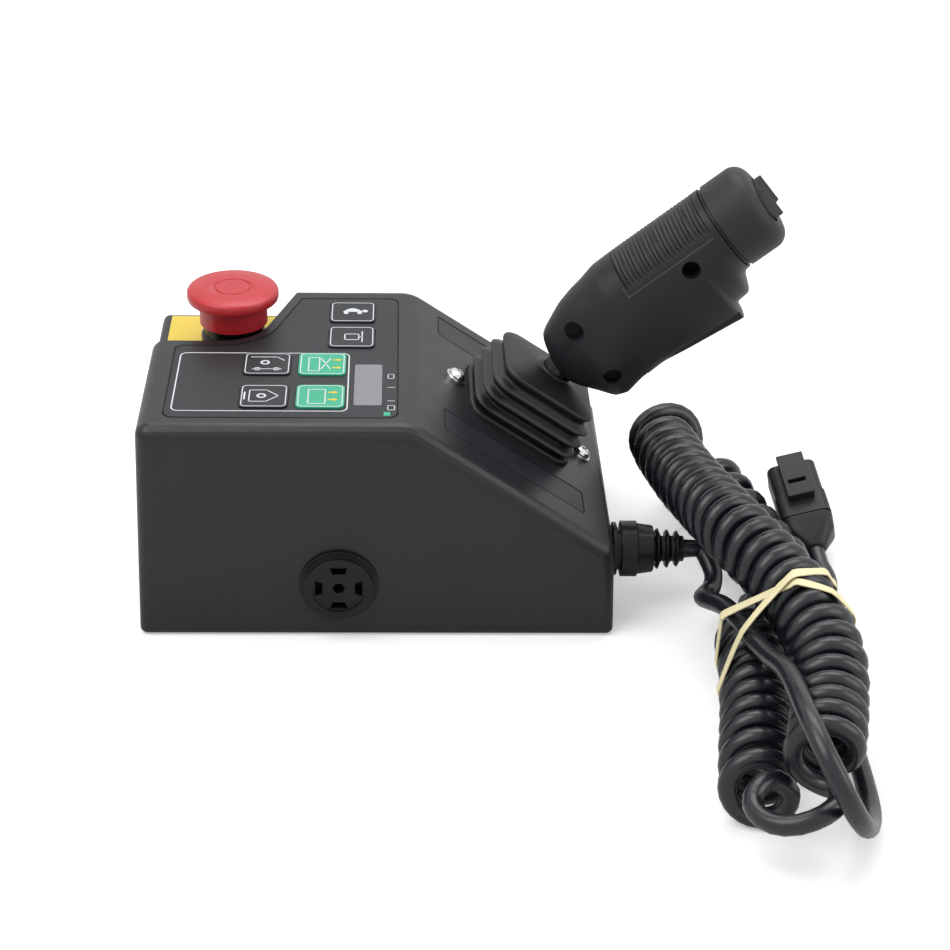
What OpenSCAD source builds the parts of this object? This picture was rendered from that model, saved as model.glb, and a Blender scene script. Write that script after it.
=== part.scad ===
// Control box of a scissor lift: keypad deck, stop button, joystick and curly cord.
// Units are millimetres. The origin is the centre of the base underside, +X points
// away from the operator, +Y to the operator's left hand side of the deck, +Z up.

/* [Housing] */
// Length of the box, from the operator's end to the cable end
box_l = 200; // [188:1:240]
// Width of the box
box_w = 138; // [132:1:170]
// Height of the keypad deck above the base
box_h = 98; // [92:1:110]
// Height of the cable end, below the slope
nose_h = 40; // [38:1:50]
// Flat deck before the slope starts, as a share of the box's length
deck_share = 0.5725; // [0.565:0.0025:0.59]
// Wall thickness of the moulded housing
wall = 3; // [2.6:0.2:3.4]
// How far each side wall leans in over the full height
draft = 1.9; // [0.5:0.1:3]
// Edge radius at the top of the housing
edge_r = 6; // [5:0.5:7]
// Edge radius at the foot of the housing
foot_r = 3; // [2.5:0.5:4]
// Radius where the deck rolls over into the slope
roll_r = 16; // [10:1:20]

/* [Stop button] */
// Diameter of the mushroom head
stop_head_d = 40; // [36:1:44]
// Distance of the button from the operator's end
stop_inset_x = 36; // [34:0.5:40]
// Distance of the button from the far side wall
stop_inset_y = 35.5; // [33:0.5:38]
// Depth of the corner step that the button stands in
step_drop = 13; // [11:0.5:15]
// Distance that the button travels when it is struck
stop_travel = 4.5; // [3:0.5:5]

/* [Keypad] */
// Gap between neighbouring keys
key_gap = 3.3; // [3:0.1:5]
// Distance that a key travels
key_travel = 0.5; // [0.3:0.1:0.6]
// How far a key stands above the overlay
key_proud = 0.6; // [0.6:0.1:1]
// Thickness of the keypad overlay
overlay_t = 1; // [0.8:0.1:1.2]

/* [Joystick] */
// Distance of the lever from the top of the slope, as a share of the slope
joy_share = 0.542; // [0.53:0.002:0.55]
// Distance of the lever from the box's centre plane
joy_y = 3.5; // [0:0.5:6]
// Diameter of the lever shaft
shaft_d = 12; // [10:0.5:13]
// Base length of the square rubber boot, as a share of the slope
boot_share = 0.509; // [0.495:0.002:0.52]
// Height of the boot from the slope to the end of its neck
boot_h = 28; // [27:0.5:28.5]
// Angle of the grip past the lever shaft
grip_rake = 16.85; // [14:0.5:19]
// Length of the grip below its cap
grip_len = 92.5; // [88:0.5:98]
// Diameter of the grip's upper cylinder
grip_d = 39.2; // [38.4:0.4:40.8]
// Wall of the grip shells
grip_wall = 2.4; // [2:0.1:2.8]
// Height of the grip's rubber cap
cap_h = 19; // [17:0.5:21]

/* [Alarm] */
// Outer diameter of the sounder's bezel
alarm_d = 33; // [31:0.5:36]
// Distance of the sounder from the box's centre, towards the operator
alarm_x = 16; // [10:0.5:22]
// Height of the sounder above the base
alarm_z = 25.2; // [24:0.2:27]

/* [Cord] */
// Diameter of the cord
cord_d = 8; // [7.4:0.1:8.2]
// Outer diameter of the cord's curls
curl_od = 30.5; // [29.7:0.1:31]
// Diameter of the cable gland's body
gland_d = 24; // [22:0.5:26]
// Width of a rubber band
band_w = 3.4; // [2.4:0.2:4.4]

/* [Hidden] */

// Smoothness of turned pieces, small turned pieces and hulled edges
round_fn = 64;
small_fn = 32;
hull_fn = 32;
// Overrun of a cut past the face it opens, gap of moving pieces, gap of seated pieces
over = 1;
gap = 0.3;
seat = 0.1;
// Radial running clearance of a pin in its hub
run_fit = 0.05;

// Frame of the slope
deck_l = box_l*deck_share;
slope_x = deck_l - box_l/2;
slope_deg = atan((box_h - nose_h)/(box_l - deck_l));
slope_len = (box_l - deck_l)/cos(slope_deg);
joy_s = slope_len*joy_share;
boot_w = slope_len*boot_share;
draft_deg = atan(draft/box_h);
nose_draft = draft*nose_h/box_h;
module on_slope(s, y, h) {
    translate([slope_x, 0, box_h]) rotate([0, slope_deg, 0]) translate([s, y, h]) children();
}

// The hull of the housing, shrunk by an inset on every face but the floor
module corner_ball(r) { sphere(r = r, $fn = hull_fn); }
module roll_bar(r, len, er) {
    rotate([90, 0, 0]) rotate_extrude($fn = hull_fn*2) hull() {
        translate([0, -len/2]) square([r - er, len]);
        for (e = [-1, 1]) translate([r - er, e*(len/2 - er)]) circle(r = er, $fn = hull_fn/2);
    }
}
module housing_form(inset) {
    er = max(edge_r - inset, over);
    fr = max(foot_r - inset, over);
    rr = roll_r - inset;
    hx = box_l/2 - inset;
    hy = box_w/2 - inset;
    top = box_h - inset;
    nose_z = nose_h - inset/cos(slope_deg) + inset*tan(slope_deg);
    roll_x = slope_x - inset*tan(slope_deg/2) - rr*tan(slope_deg/2);
    nose_x = hx - nose_draft - er;
    nose_cz = nose_z + (er + nose_draft)*tan(slope_deg) - er/cos(slope_deg);
    hull() {
        for (x = [-1, 1], y = [-1, 1]) translate([x*(hx - fr), y*(hy - fr), fr]) corner_ball(fr);
        for (y = [-1, 1]) {
            translate([-hx + draft + er, y*(hy - draft - er), top - er]) corner_ball(er);
            translate([nose_x, y*(hy - nose_draft - er), nose_cz]) corner_ball(er);
        }
        translate([roll_x, 0, top - rr]) roll_bar(rr, 2*(hy - draft), er);
    }
}

// The corner step for the stop button: a straight edge, an arc, then a leaning edge
stop_x = stop_inset_x - box_l/2;
stop_y = box_w/2 - stop_inset_y;
shelf_z = box_h - step_drop;
step_front = 20.5;
step_arc_r = 20;
step_arc_x = stop_x - 4;
step_arc_y = stop_y - step_front + step_arc_r;
step_lean = 72;
function step_outline(g) = let(
    r = step_arc_r - g,
    arc = [for (a = [-90:9:step_lean - 90]) [step_arc_x + r*cos(a), step_arc_y + r*sin(a)]],
    last = arc[len(arc) - 1],
    far = box_w/2 + 2*edge_r)
    concat([[-box_l/2 - edge_r, step_arc_y - r]], arc,
        [[last[0] + (far - last[1])/tan(step_lean), far], [-box_l/2 - edge_r, far]]);
module step_block(g, z0) {
    translate([0, 0, z0]) linear_extrude(box_h + edge_r - z0) polygon(step_outline(g));
}
module shelf_form() {
    lean = draft*shelf_z/box_h;
    sx = box_l/2 - lean - foot_r;
    sy = box_w/2 - lean - foot_r;
    x1 = step_arc_x + step_arc_r + step_drop;
    y0 = step_arc_y - step_arc_r - wall/2;
    low = shelf_z - foot_r - edge_r;
    low_lean = draft*low/box_h;
    hull() {
        for (p = [[-sx, sy], [-sx, y0], [x1, sy]]) translate([p[0], p[1], shelf_z - foot_r])
            corner_ball(foot_r);
        translate([x1 - foot_r, y0 - foot_r, low]) cube([foot_r, foot_r, shelf_z - low]);
        translate([low_lean - box_l/2, y0 - foot_r, low])
            cube([x1 - low_lean + box_l/2, box_w/2 - low_lean - y0 + foot_r - edge_r, foot_r]);
        translate([low_lean + edge_r - box_l/2, y0, low])
            cube([x1 - low_lean - edge_r + box_l/2, box_w/2 - low_lean - y0, foot_r]);
    }
}

// Keypad layout, seen from above: places of key centres from the deck's near edge
overlay_x0 = 12.5 - box_l/2;
overlay_x1 = slope_x - 6;
overlay_y0 = 12 - box_w/2;
overlay_y1 = box_w/2 - 12.5;
overlay_r = 4.5;
label_gap = 4.2;
recess_t = overlay_t;
overlay_w = overlay_x1 - overlay_x0;
overlay_l = overlay_y1 - overlay_y0;
key_col_shares = [0.4219, 0.6646, 0.7885];
key_row_shares = [0.1586, 0.4167, 0.6467, 0.8652];
key_col_x = [for (s = key_col_shares) overlay_x0 + s*overlay_w];
key_row_y = [for (s = key_row_shares) overlay_y0 + s*overlay_l];
key_w = key_col_x[1] - key_col_x[0] - key_gap;
key_l = key_row_y[3] - key_row_y[2] - 1.45*key_gap;
key_r = 2.5;
KEYS = [["key_drive_near", key_col_x[0], key_row_y[0], "dimgray"],
    ["key_drive_far", key_col_x[0], key_row_y[1], "dimgray"],
    ["key_lift_near", key_col_x[1], key_row_y[0], "mediumseagreen"],
    ["key_lift_far", key_col_x[1], key_row_y[1], "mediumseagreen"],
    ["key_horn", key_col_x[2], key_row_y[2], "dimgray"],
    ["key_speed", key_col_x[2], key_row_y[3], "dimgray"]];
key_stem_d = 6;
display_w = overlay_w*0.123;
display_l = overlay_l*0.326;
display_x = overlay_x0 + overlay_w*0.8688;
display_y = overlay_y0 + overlay_l*0.2608;
module rounded_rect(w, l, r) {
    for (e = [0, 1]) square([w - 2*r*e, l - 2*r*(1 - e)], center = true);
    for (x = [-1, 1], y = [-1, 1]) translate([x*(w/2 - r), y*(l/2 - r)]) circle(r = r, $fn = small_fn);
}
module overlay_outline(g) {
    w = overlay_x1 - overlay_x0 - 2*g;
    l = overlay_y1 - overlay_y0 - 2*g;
    difference() {
        translate([(overlay_x0 + overlay_x1)/2, (overlay_y0 + overlay_y1)/2])
            rounded_rect(w, l, overlay_r);
        polygon(step_outline(-label_gap - g));
    }
}
module each_key() { for (k = KEYS) translate([k[1], k[2]]) children(); }

// Inner board under the deck
board_t = 1.6;
board_drop = 7;
board_z = box_h - wall - board_drop - board_t;
board_screw_r = 1.5;
board_post_r = 3.2;
switch_side = 6;
post_inset = 4;
board_x0 = key_col_x[0] - key_w/2 - 2*post_inset;
board_x1 = overlay_x1 - over;
board_y0 = overlay_y0 + over;
board_y1 = step_arc_y - step_arc_r - 2*wall - over;
board_far_x0 = key_col_x[2] - key_w/2 - over;
board_far_y = overlay_y1 - over;
BOARD_POSTS = [[board_x0 + post_inset, board_y0 + post_inset],
    [board_x0 + post_inset, board_y1 - post_inset], [board_x1 - post_inset, board_y0 + post_inset],
    [board_x1 - post_inset, board_far_y - post_inset]];
module board_outline() {
    translate([board_x0, board_y0]) square([board_x1 - board_x0, board_y1 - board_y0]);
    translate([board_far_x0, board_y0]) square([board_x1 - board_far_x0, board_far_y - board_y0]);
}

// Holes and seats shared by the housing and what it carries
stop_stem_r = 11;
stop_hole_r = stop_stem_r + gap;
alarm_stem_r = 13.5;
alarm_hole_r = alarm_stem_r + gap;
gland_y = 27 - box_w/2;
gland_z = 27;
gland_stem_r = 8.5;
gland_hole_r = gland_stem_r + gap;
gland_face_x = box_l/2 - nose_draft*gland_z/nose_h;
gland_tilt = atan(nose_draft/nose_h);
screw_pitch = slope_len*0.6485;
screw_r = 2;
screw_hole_r = 2.25;
lever_hole = boot_w*0.76;
base_t = 3;
gasket_t = 1;
boss_r = 5;
boss_in = 7.5;
boss_h = 26;
base_screw_r = 1.75;
label_t = 0.5;
near_label_s = slope_len*0.5033;
label_l = slope_len*0.697;
far_label_s = slope_len*0.484;
label_w = box_w*0.134;
near_label_y = -box_w*0.2913;
far_label_y = box_w*0.3319;
module on_near_face(x, z) {
    translate([x, -box_w/2 + draft*z/box_h - seat/2, z]) rotate([90 - draft_deg, 0, 0]) children();
}
module at_bosses() {
    for (x = [-1, 1], y = [-1, 1])
        translate([x*(box_l/2 - boss_in), y*(box_w/2 - boss_in), 0]) children();
}
module at_joystick_screws() { for (e = [-1, 1]) on_slope(joy_s + e*screw_pitch/2, joy_y, 0) children(); }
module label_pockets(h, inset) {
    for (p = [[near_label_s, near_label_y], [far_label_s, far_label_y]])
        on_slope(p[0], p[1], -label_t) linear_extrude(h)
            rounded_rect(label_l - 2*inset, label_w - 2*inset, over);
}

module housing_shell() {
    color([0.17, 0.18, 0.2]) difference() {
        union() {
            difference() { housing_form(0); step_block(0, shelf_z - foot_r - edge_r/2); }
            intersection() { shelf_form(); housing_form(0); }
        }
        difference() {
            union() {
                housing_form(wall);
                translate([wall - box_l/2, wall - box_w/2, -over])
                    cube([box_l - 2*wall, box_w - 2*wall, base_t + gasket_t + 2*over]);
            }
            step_block(-wall, shelf_z - wall);
            at_bosses() translate([0, 0, base_t + gasket_t])
                cylinder(r = boss_r, h = boss_h, $fn = small_fn);
            for (p = BOARD_POSTS) translate([p[0], p[1], board_z + board_t])
                cylinder(r = board_post_r, h = board_drop + wall, $fn = small_fn);
        }
        translate([0, 0, box_h - recess_t]) linear_extrude(recess_t + over) overlay_outline(0);
        translate([0, 0, box_h - 2*wall]) linear_extrude(2*wall)
            each_key() circle(d = key_stem_d + 4*gap, $fn = small_fn);
        translate([display_x, display_y, box_h - wall]) linear_extrude(2*wall, center = true)
            square([display_w - 2*gap, display_l - 2*gap], center = true);
        for (p = BOARD_POSTS) translate([p[0], p[1], board_z])
            cylinder(r = board_screw_r, h = board_drop + board_t, $fn = small_fn);
        translate([stop_x, stop_y, shelf_z - 2*wall]) cylinder(r = stop_hole_r, h = 3*wall, $fn = round_fn);
        on_near_face(-alarm_x, alarm_z)
            cylinder(r = alarm_hole_r, h = 3*wall, center = true, $fn = round_fn);
        translate([box_l/2 - 2*wall, gland_y, gland_z]) rotate([0, 90 - gland_tilt, 0])
            cylinder(r = gland_hole_r, h = 3*wall, $fn = round_fn);
        on_slope(joy_s, joy_y, 0) cube([lever_hole, lever_hole, 3*wall], center = true);
        at_joystick_screws() cylinder(r = screw_hole_r, h = 3*wall, center = true, $fn = small_fn);
        label_pockets(label_t + over, 0);
        at_bosses() cylinder(r = base_screw_r, h = boss_h, $fn = small_fn);
    }
}

// Base plate, its seal and screws
base_screw_head_r = 3.4;
base_screw_head_t = 1.8;
base_screw_len = 14;
module base_plate() {
    color([0.2, 0.2, 0.21]) difference() {
        translate([wall + gap - box_l/2, wall + gap - box_w/2, 0])
            cube([box_l - 2*wall - 2*gap, box_w - 2*wall - 2*gap, base_t]);
        at_bosses() {
            translate([0, 0, -over]) cylinder(r = screw_r + gap, h = base_t + 2*over, $fn = small_fn);
            translate([0, 0, -over])
                cylinder(r = base_screw_head_r + gap, h = base_screw_head_t + over + seat, $fn = small_fn);
        }
    }
}
gasket_w = 2*boss_in - wall;
module base_gasket() {
    color([0.1, 0.1, 0.1]) translate([0, 0, base_t]) difference() {
        translate([wall + gap - box_l/2, wall + gap - box_w/2, 0])
            cube([box_l - 2*wall - 2*gap, box_w - 2*wall - 2*gap, gasket_t]);
        translate([gasket_w - box_l/2, gasket_w - box_w/2, -over])
            cube([box_l - 2*gasket_w, box_w - 2*gasket_w, gasket_t + 2*over]);
        at_bosses() translate([0, 0, -over])
            cylinder(r = screw_r + gap, h = gasket_t + 2*over, $fn = small_fn);
    }
}
module base_screws() {
    color([0.62, 0.62, 0.62]) at_bosses() translate([0, 0, seat]) {
        difference() {
            cylinder(r = base_screw_head_r, h = base_screw_head_t, $fn = small_fn);
            translate([0, 0, -over]) cylinder(r = base_screw_r, h = 2*over, $fn = 6);
        }
        cylinder(r = base_screw_r - run_fit, h = base_screw_len, $fn = small_fn);
    }
}

// Keypad overlay, display, board and switches
module overlay_panel() {
    color([0.14, 0.145, 0.16]) translate([0, 0, box_h - recess_t]) linear_extrude(overlay_t) difference() {
        overlay_outline(seat);
        each_key() rounded_rect(key_w + 2*gap, key_l + 2*gap, key_r + gap);
        translate([display_x, display_y]) rounded_rect(display_w, display_l, over);
    }
}
module display_window() {
    color([0.55, 0.57, 0.58]) translate([display_x, display_y, box_h - recess_t]) linear_extrude(overlay_t)
        rounded_rect(display_w - 2*seat, display_l - 2*seat, over);
}
display_pcb_t = 3.4;
module display_module() {
    color([0.6, 0.64, 0.6]) translate([display_x, display_y, board_z + board_t])
        linear_extrude(board_drop - seat) square([display_w, display_l], center = true);
}
module keypad_board() {
    color([0.1, 0.35, 0.2]) difference() {
        translate([0, 0, board_z]) linear_extrude(board_t) board_outline();
        for (p = BOARD_POSTS) translate([p[0], p[1], board_z - over])
            cylinder(r = board_screw_r + gap, h = board_t + 2*over, $fn = small_fn);
    }
}
module board_screws() {
    color([0.7, 0.7, 0.7]) for (p = BOARD_POSTS) translate([p[0], p[1], board_z]) {
        cylinder(r = board_screw_r - run_fit, h = board_drop, $fn = small_fn);
        translate([0, 0, -board_screw_r])
            cylinder(r = board_post_r - gap, h = board_screw_r, $fn = small_fn);
    }
}
key_z0 = box_h - recess_t + key_travel + gap;
key_z1 = box_h - recess_t + overlay_t + key_proud;
switch_top = key_z0 - wall - key_travel - gap;
key_stem_z = switch_top + key_travel + gap;
module key_switches() {
    color([0.25, 0.25, 0.27]) for (k = KEYS) translate([k[1], k[2], board_z + board_t]) {
        translate([-switch_side/2, -switch_side/2, 0])
            cube([switch_side, switch_side, (switch_top - board_z - board_t)*0.8]);
        cylinder(d = switch_side/2, h = switch_top - board_z - board_t, $fn = small_fn);
    }
}
module key_piece(i) {
    k = KEYS[i];
    color(k[3]) translate([k[1], k[2], 0]) {
        translate([0, 0, key_z0]) linear_extrude(key_z1 - key_z0) rounded_rect(key_w, key_l, key_r);
        translate([0, 0, key_stem_z]) cylinder(d = key_stem_d, h = key_z0 - key_stem_z, $fn = small_fn);
    }
}
module key_drive_near() { key_piece(0); }
module key_drive_far() { key_piece(1); }
module key_lift_near() { key_piece(2); }
module key_lift_far() { key_piece(3); }
module key_horn() { key_piece(4); }
module key_speed() { key_piece(5); }

// Stop button
stop_plate_t = 0.8;
stop_collar_r = 14.4;
stop_nut_r = 15.6;
stop_neck_r = 12.9;
stop_neck_wall = 1.3;
stop_plunger_r = 7.6;
stop_skirt_r = 14.85;
stop_rim_t = 5.6;
stop_head_rise = 29.2;
stop_skirt_h = 10.8;
stop_top_z = shelf_z + stop_head_rise;
stop_skirt_z = stop_top_z - stop_rim_t - stop_skirt_h;
stop_shoulder_z = stop_skirt_z - stop_travel - gap;
stop_neck_z = stop_skirt_z + 3;
stop_spring_r = 10;
stop_spring_d = 1.4;
stop_nut_t = 6;
stop_block_w = 30;
stop_block_h = 32;
stop_stem_h = 16;
stop_ring_r = 7.4;
module at_stop(z) { translate([stop_x, stop_y, z]) children(); }
module stop_label_plate() {
    color([0.93, 0.76, 0.12]) translate([0, 0, shelf_z]) linear_extrude(stop_plate_t) difference() {
        intersection() {
            polygon(step_outline(2*over));
            translate([6 - box_l/2, 0]) square([51.5, box_w/2 - 6.5]);
        }
        translate([stop_x, stop_y]) circle(r = stop_stem_r + gap, $fn = round_fn);
    }
}
module stop_collar() {
    z0 = shelf_z + stop_plate_t;
    color([0.12, 0.12, 0.13]) difference() {
        union() {
            at_stop(z0) cylinder(r = stop_collar_r, h = stop_shoulder_z - z0 - over, $fn = round_fn);
            at_stop(stop_shoulder_z - over)
                cylinder(r1 = stop_collar_r, r2 = stop_collar_r - over, h = over, $fn = round_fn);
            at_stop(z0) cylinder(r = stop_neck_r, h = stop_neck_z - z0, $fn = round_fn);
            at_stop(z0 - stop_stem_h) cylinder(r = stop_stem_r, h = stop_stem_h, $fn = round_fn);
        }
        at_stop(z0 - stop_stem_h - over)
            cylinder(r = stop_plunger_r + gap, h = stop_stem_h + stop_neck_z, $fn = round_fn);
        at_stop(z0 + over) cylinder(r = stop_neck_r - stop_neck_wall, h = stop_neck_z, $fn = round_fn);
    }
}
module stop_locknut() {
    color([0.3, 0.3, 0.32]) at_stop(shelf_z - wall - stop_nut_t) difference() {
        cylinder(r = stop_nut_r, h = stop_nut_t, $fn = 6);
        translate([0, 0, -over])
            cylinder(r = stop_stem_r + run_fit, h = stop_nut_t + 2*over, $fn = round_fn);
    }
}
stop_block_z = shelf_z + stop_plate_t - stop_stem_h;
plunger_z = stop_block_z + stop_travel + gap;
module stop_contact_block() {
    color([0.75, 0.74, 0.7]) difference() {
        at_stop(stop_block_z - stop_block_h) translate([-stop_block_w/2, -stop_block_w/2, 0])
            cube([stop_block_w, stop_block_w, stop_block_h]);
        for (e = [-1, 1]) at_stop(stop_block_z - stop_block_h - over) translate([e*stop_block_w/4, 0, 0])
            cylinder(r = screw_r, h = stop_block_h/4, $fn = small_fn);
    }
}
spring_z0 = shelf_z + stop_plate_t + over + seat;
stop_disc_z = stop_top_z - stop_rim_t;
module stop_spring() {
    color([0.75, 0.75, 0.76]) at_stop(0) coil_spring(stop_spring_r, stop_spring_d, 4,
        spring_z0 + stop_spring_d/2, stop_disc_z - gap - stop_spring_d/2);
}
module stop_plunger() {
    color([0.25, 0.25, 0.26]) at_stop(plunger_z)
        cylinder(r = stop_plunger_r, h = stop_disc_z - plunger_z - gap, $fn = round_fn);
}
module stop_head() {
    hr = stop_head_d/2;
    color([0.75, 0.14, 0.16]) at_stop(0) rotate_extrude($fn = 2*round_fn) difference() {
        union() {
            translate([0, stop_disc_z]) polygon([[0, 0], [hr - over, 0], [hr - over/4, over/2],
                [hr, 3*over/2], [hr, stop_rim_t - 2*over], [hr - over/2, stop_rim_t - over],
                [hr - 2*over, stop_rim_t - over/3], [hr*0.6, stop_rim_t], [0, stop_rim_t]]);
            translate([stop_neck_r + gap, stop_skirt_z])
                square([stop_skirt_r - stop_neck_r - gap, stop_skirt_h + over]);
        }
        translate([stop_ring_r, stop_top_z - over/2]) square([over, over]);
    }
}

// A round wire wound into an open coil spring about Z, as one tube
function ring_face(n, a, b) = [for (i = [0:n - 1]) each
    [[a + i, b + i, b + (i + 1) % n], [a + i, b + (i + 1) % n, a + (i + 1) % n]]];
module tube_skin(rings, n) {
    m = len(rings);
    polyhedron([for (r = rings) each r], concat([[for (i = [0:n - 1]) i]],
        [for (j = [0:m - 2]) each ring_face(n, j*n, (j + 1)*n)],
        [[for (i = [n - 1:-1:0]) (m - 1)*n + i]]));
}
spring_sides = 6;
module coil_spring(r, d, turns, z0, z1) {
    steps = 8*turns;
    tube_skin([for (k = [0:steps]) let(a = 360*k/8, z = z0 + (z1 - z0)*k/steps)
        [for (j = [0:spring_sides - 1]) let(q = 360*j/spring_sides, e = r + d/2*cos(q))
            [e*cos(a), e*sin(a), z + d/2*sin(q)]]], spring_sides);
}

// Sounder in the near wall
alarm_rim_t = 4.5;
alarm_disc_r = 11;
alarm_disc_in = 1.2;
alarm_nut_t = 5;
alarm_body_len = 22;
alarm_slot_r = 7.8;
alarm_slot_w = 5.2;
module alarm_bezel() {
    color([0.1, 0.1, 0.105]) on_near_face(-alarm_x, alarm_z) difference() {
        union() {
            cylinder(r = alarm_d/2, h = alarm_rim_t/3, $fn = round_fn);
            cylinder(r = alarm_d/2 - over, h = alarm_rim_t*2/3, $fn = round_fn);
            cylinder(r = alarm_d/2 - 2*over, h = alarm_rim_t, $fn = round_fn);
        }
        translate([0, 0, alarm_rim_t - alarm_disc_in])
            cylinder(r = alarm_disc_r, h = 2*over, $fn = round_fn);
        for (a = [0:90:270]) rotate([0, 0, a]) translate([alarm_slot_r, 0, -over])
            linear_extrude(alarm_rim_t + 2*over) polygon([[-over, -alarm_slot_w/2],
                [2*over, -alarm_slot_w*0.7], [2*over, alarm_slot_w*0.7], [-over, alarm_slot_w/2]]);
        translate([0, 0, -over]) cylinder(r = alarm_slot_w/2, h = alarm_rim_t + 2*over, $fn = 6);
    }
}
module alarm_body() {
    color([0.14, 0.14, 0.15]) on_near_face(-alarm_x, alarm_z) translate([0, 0, -alarm_body_len])
        difference() {
            cylinder(r = alarm_stem_r, h = alarm_body_len, $fn = round_fn);
            translate([0, 0, alarm_body_len - 3*over])
                cylinder(r = alarm_disc_r, h = 4*over, $fn = round_fn);
        }
}
module alarm_nut() {
    color([0.2, 0.2, 0.22]) on_near_face(-alarm_x, alarm_z) translate([0, 0, -wall - alarm_nut_t - seat])
        difference() {
            cylinder(r = alarm_d/2, h = alarm_nut_t, $fn = small_fn);
            translate([0, 0, -over])
                cylinder(r = alarm_stem_r + run_fit, h = alarm_nut_t + 2*over, $fn = round_fn);
        }
}
module slope_labels() { color([0.16, 0.165, 0.18]) label_pockets(label_t - seat, 2*seat); }

// Joystick: base under the slope, pivot pin, boot, shaft and sensor
flange_l = slope_len*0.7356;
flange_w = 52;
flange_t = 3;
pivot_h = -14;
base_body_w = 38;
base_body_h = 32;
base_wall = 4;
pin_r = 3;
hub_r = 7;
hub_w = 16;
module on_pivot() { on_slope(joy_s, joy_y, pivot_h) children(); }
module joystick_base() {
    color([0.2, 0.2, 0.22]) difference() {
        on_slope(joy_s, joy_y, -wall - seat/2) {
            translate([-flange_l/2, -flange_w/2, -flange_t]) cube([flange_l, flange_w, flange_t]);
            translate([-base_body_w/2, -base_body_w/2, -base_body_h])
                cube([base_body_w, base_body_w, base_body_h]);
        }
        on_slope(joy_s, joy_y, -wall - seat/2)
            translate([base_wall - base_body_w/2, base_wall*2 - base_body_w/2, base_wall - base_body_h])
            cube([base_body_w - 2*base_wall, base_body_w - 4*base_wall, base_body_h]);
        on_pivot() rotate([90, 0, 0])
            cylinder(r = pin_r, h = base_body_w + over, center = true, $fn = round_fn);
        at_joystick_screws() cylinder(r = screw_r, h = 4*wall + flange_t, center = true, $fn = small_fn);
    }
}
module pivot_pin() {
    color([0.7, 0.7, 0.72]) on_pivot() rotate([90, 0, 0])
        cylinder(r = pin_r, h = base_body_w, center = true, $fn = round_fn);
}
sensor_h = 4;
module sensor_board() {
    color([0.1, 0.35, 0.2]) on_slope(joy_s, joy_y, -wall - base_body_h + base_wall)
        translate([-base_body_w/4, -base_body_w/4, 0]) cube([base_body_w/2, base_body_w/2, sensor_h]);
}
pan_r = 4;
pan_h = 2.8;
washer_r = 4.9;
washer_t = 0.9;
joy_screw_len = 9;
module joystick_washers() {
    color([0.74, 0.75, 0.77]) at_joystick_screws() difference() {
        cylinder(r = washer_r, h = washer_t, $fn = small_fn);
        translate([0, 0, -over]) cylinder(r = screw_hole_r, h = 3*over, $fn = small_fn);
    }
}
module joystick_screws() {
    color([0.82, 0.82, 0.83]) at_joystick_screws() difference() {
        union() {
            translate([0, 0, washer_t]) rotate_extrude($fn = small_fn) polygon([[0, 0], [pan_r, 0],
                [pan_r, pan_h*0.4], [pan_r*0.85, pan_h*0.75], [pan_r*0.5, pan_h*0.97], [0, pan_h]]);
            translate([0, 0, washer_t - joy_screw_len])
                cylinder(r = screw_r - run_fit, h = joy_screw_len, $fn = small_fn);
        }
        for (a = [45, 135]) rotate([0, 0, a]) translate([0, 0, washer_t + pan_h])
            cube([pan_r, over, 2*over], center = true);
    }
}

// Square bellows: rings of [height share of boot_h, half length share, half width share of boot_w]
boot_wall = 1.4;
boot_corner = 9;
boot_shift = -1;
boot_ring_n = 24;
boot_out_shares = [[0, 0.5, 0.465], [0.064, 0.5, 0.465], [0.093, 0.48, 0.447], [0.121, 0.425, 0.405],
    [0.175, 0.497, 0.478], [0.21, 0.497, 0.478], [0.293, 0.422, 0.405], [0.375, 0.492, 0.473],
    [0.411, 0.492, 0.473], [0.496, 0.417, 0.4], [0.589, 0.475, 0.456], [0.624, 0.475, 0.456],
    [0.7, 0.395, 0.385], [0.807, 0.433, 0.427], [0.846, 0.433, 0.427], [0.878, 0.414, 0.41]];
boot_in_shares = [[0.815, 0.37, 0.362], [0.78, 0.375, 0.368], [0.7, 0.338, 0.327],
    [0.607, 0.42, 0.402], [0.496, 0.36, 0.344], [0.393, 0.437, 0.42], [0.293, 0.367, 0.35],
    [0.193, 0.442, 0.424], [0.121, 0.37, 0.35], [0.062, 0.41, 0.38], [0, 0.44, 0.405]];
neck_shares = [[0.915, 0.25, 0.17], [0.945, 0.175, 0.17], [0.972, 0.152, 0.152]];
function square_ring(ax, ay, r, z, dx) = [for (c = [0:3], k = [0:boot_ring_n/4 - 1])
    let(q = 90*c + 90*k/(boot_ring_n/4 - 1), cx = (c == 0 || c == 3) ? 1 : -1, cy = c < 2 ? 1 : -1)
    [dx + cx*(ax - r) + r*cos(q), cy*(ay - r) + r*sin(q), z]];
function round_ring(r, z) = square_ring(r, r, r, z, 0);
function boot_ring(s) = square_ring(s[1]*boot_w, s[2]*boot_w, boot_corner, s[0]*boot_h, boot_shift);
module joystick_boot() {
    inner_r = shaft_d/2 + gap;
    outer = concat([for (s = boot_out_shares) boot_ring(s)],
        [for (s = neck_shares) square_ring(s[1]*boot_w, s[1]*boot_w, s[2]*boot_w, s[0]*boot_h, 0)],
        [round_ring(inner_r + boot_wall, boot_h)]);
    inner = concat([round_ring(inner_r, boot_h), round_ring(inner_r, boot_h*0.89)],
        [for (s = boot_in_shares) boot_ring(s)]);
    rings = concat(outer, inner);
    m = len(rings);
    n = boot_ring_n;
    color([0.1, 0.1, 0.11]) on_slope(joy_s, joy_y, 0) polyhedron([for (r = rings) each r],
        [for (j = [0:m - 1]) each ring_face(n, j*n, ((j + 1) % m)*n)]);
}

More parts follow.
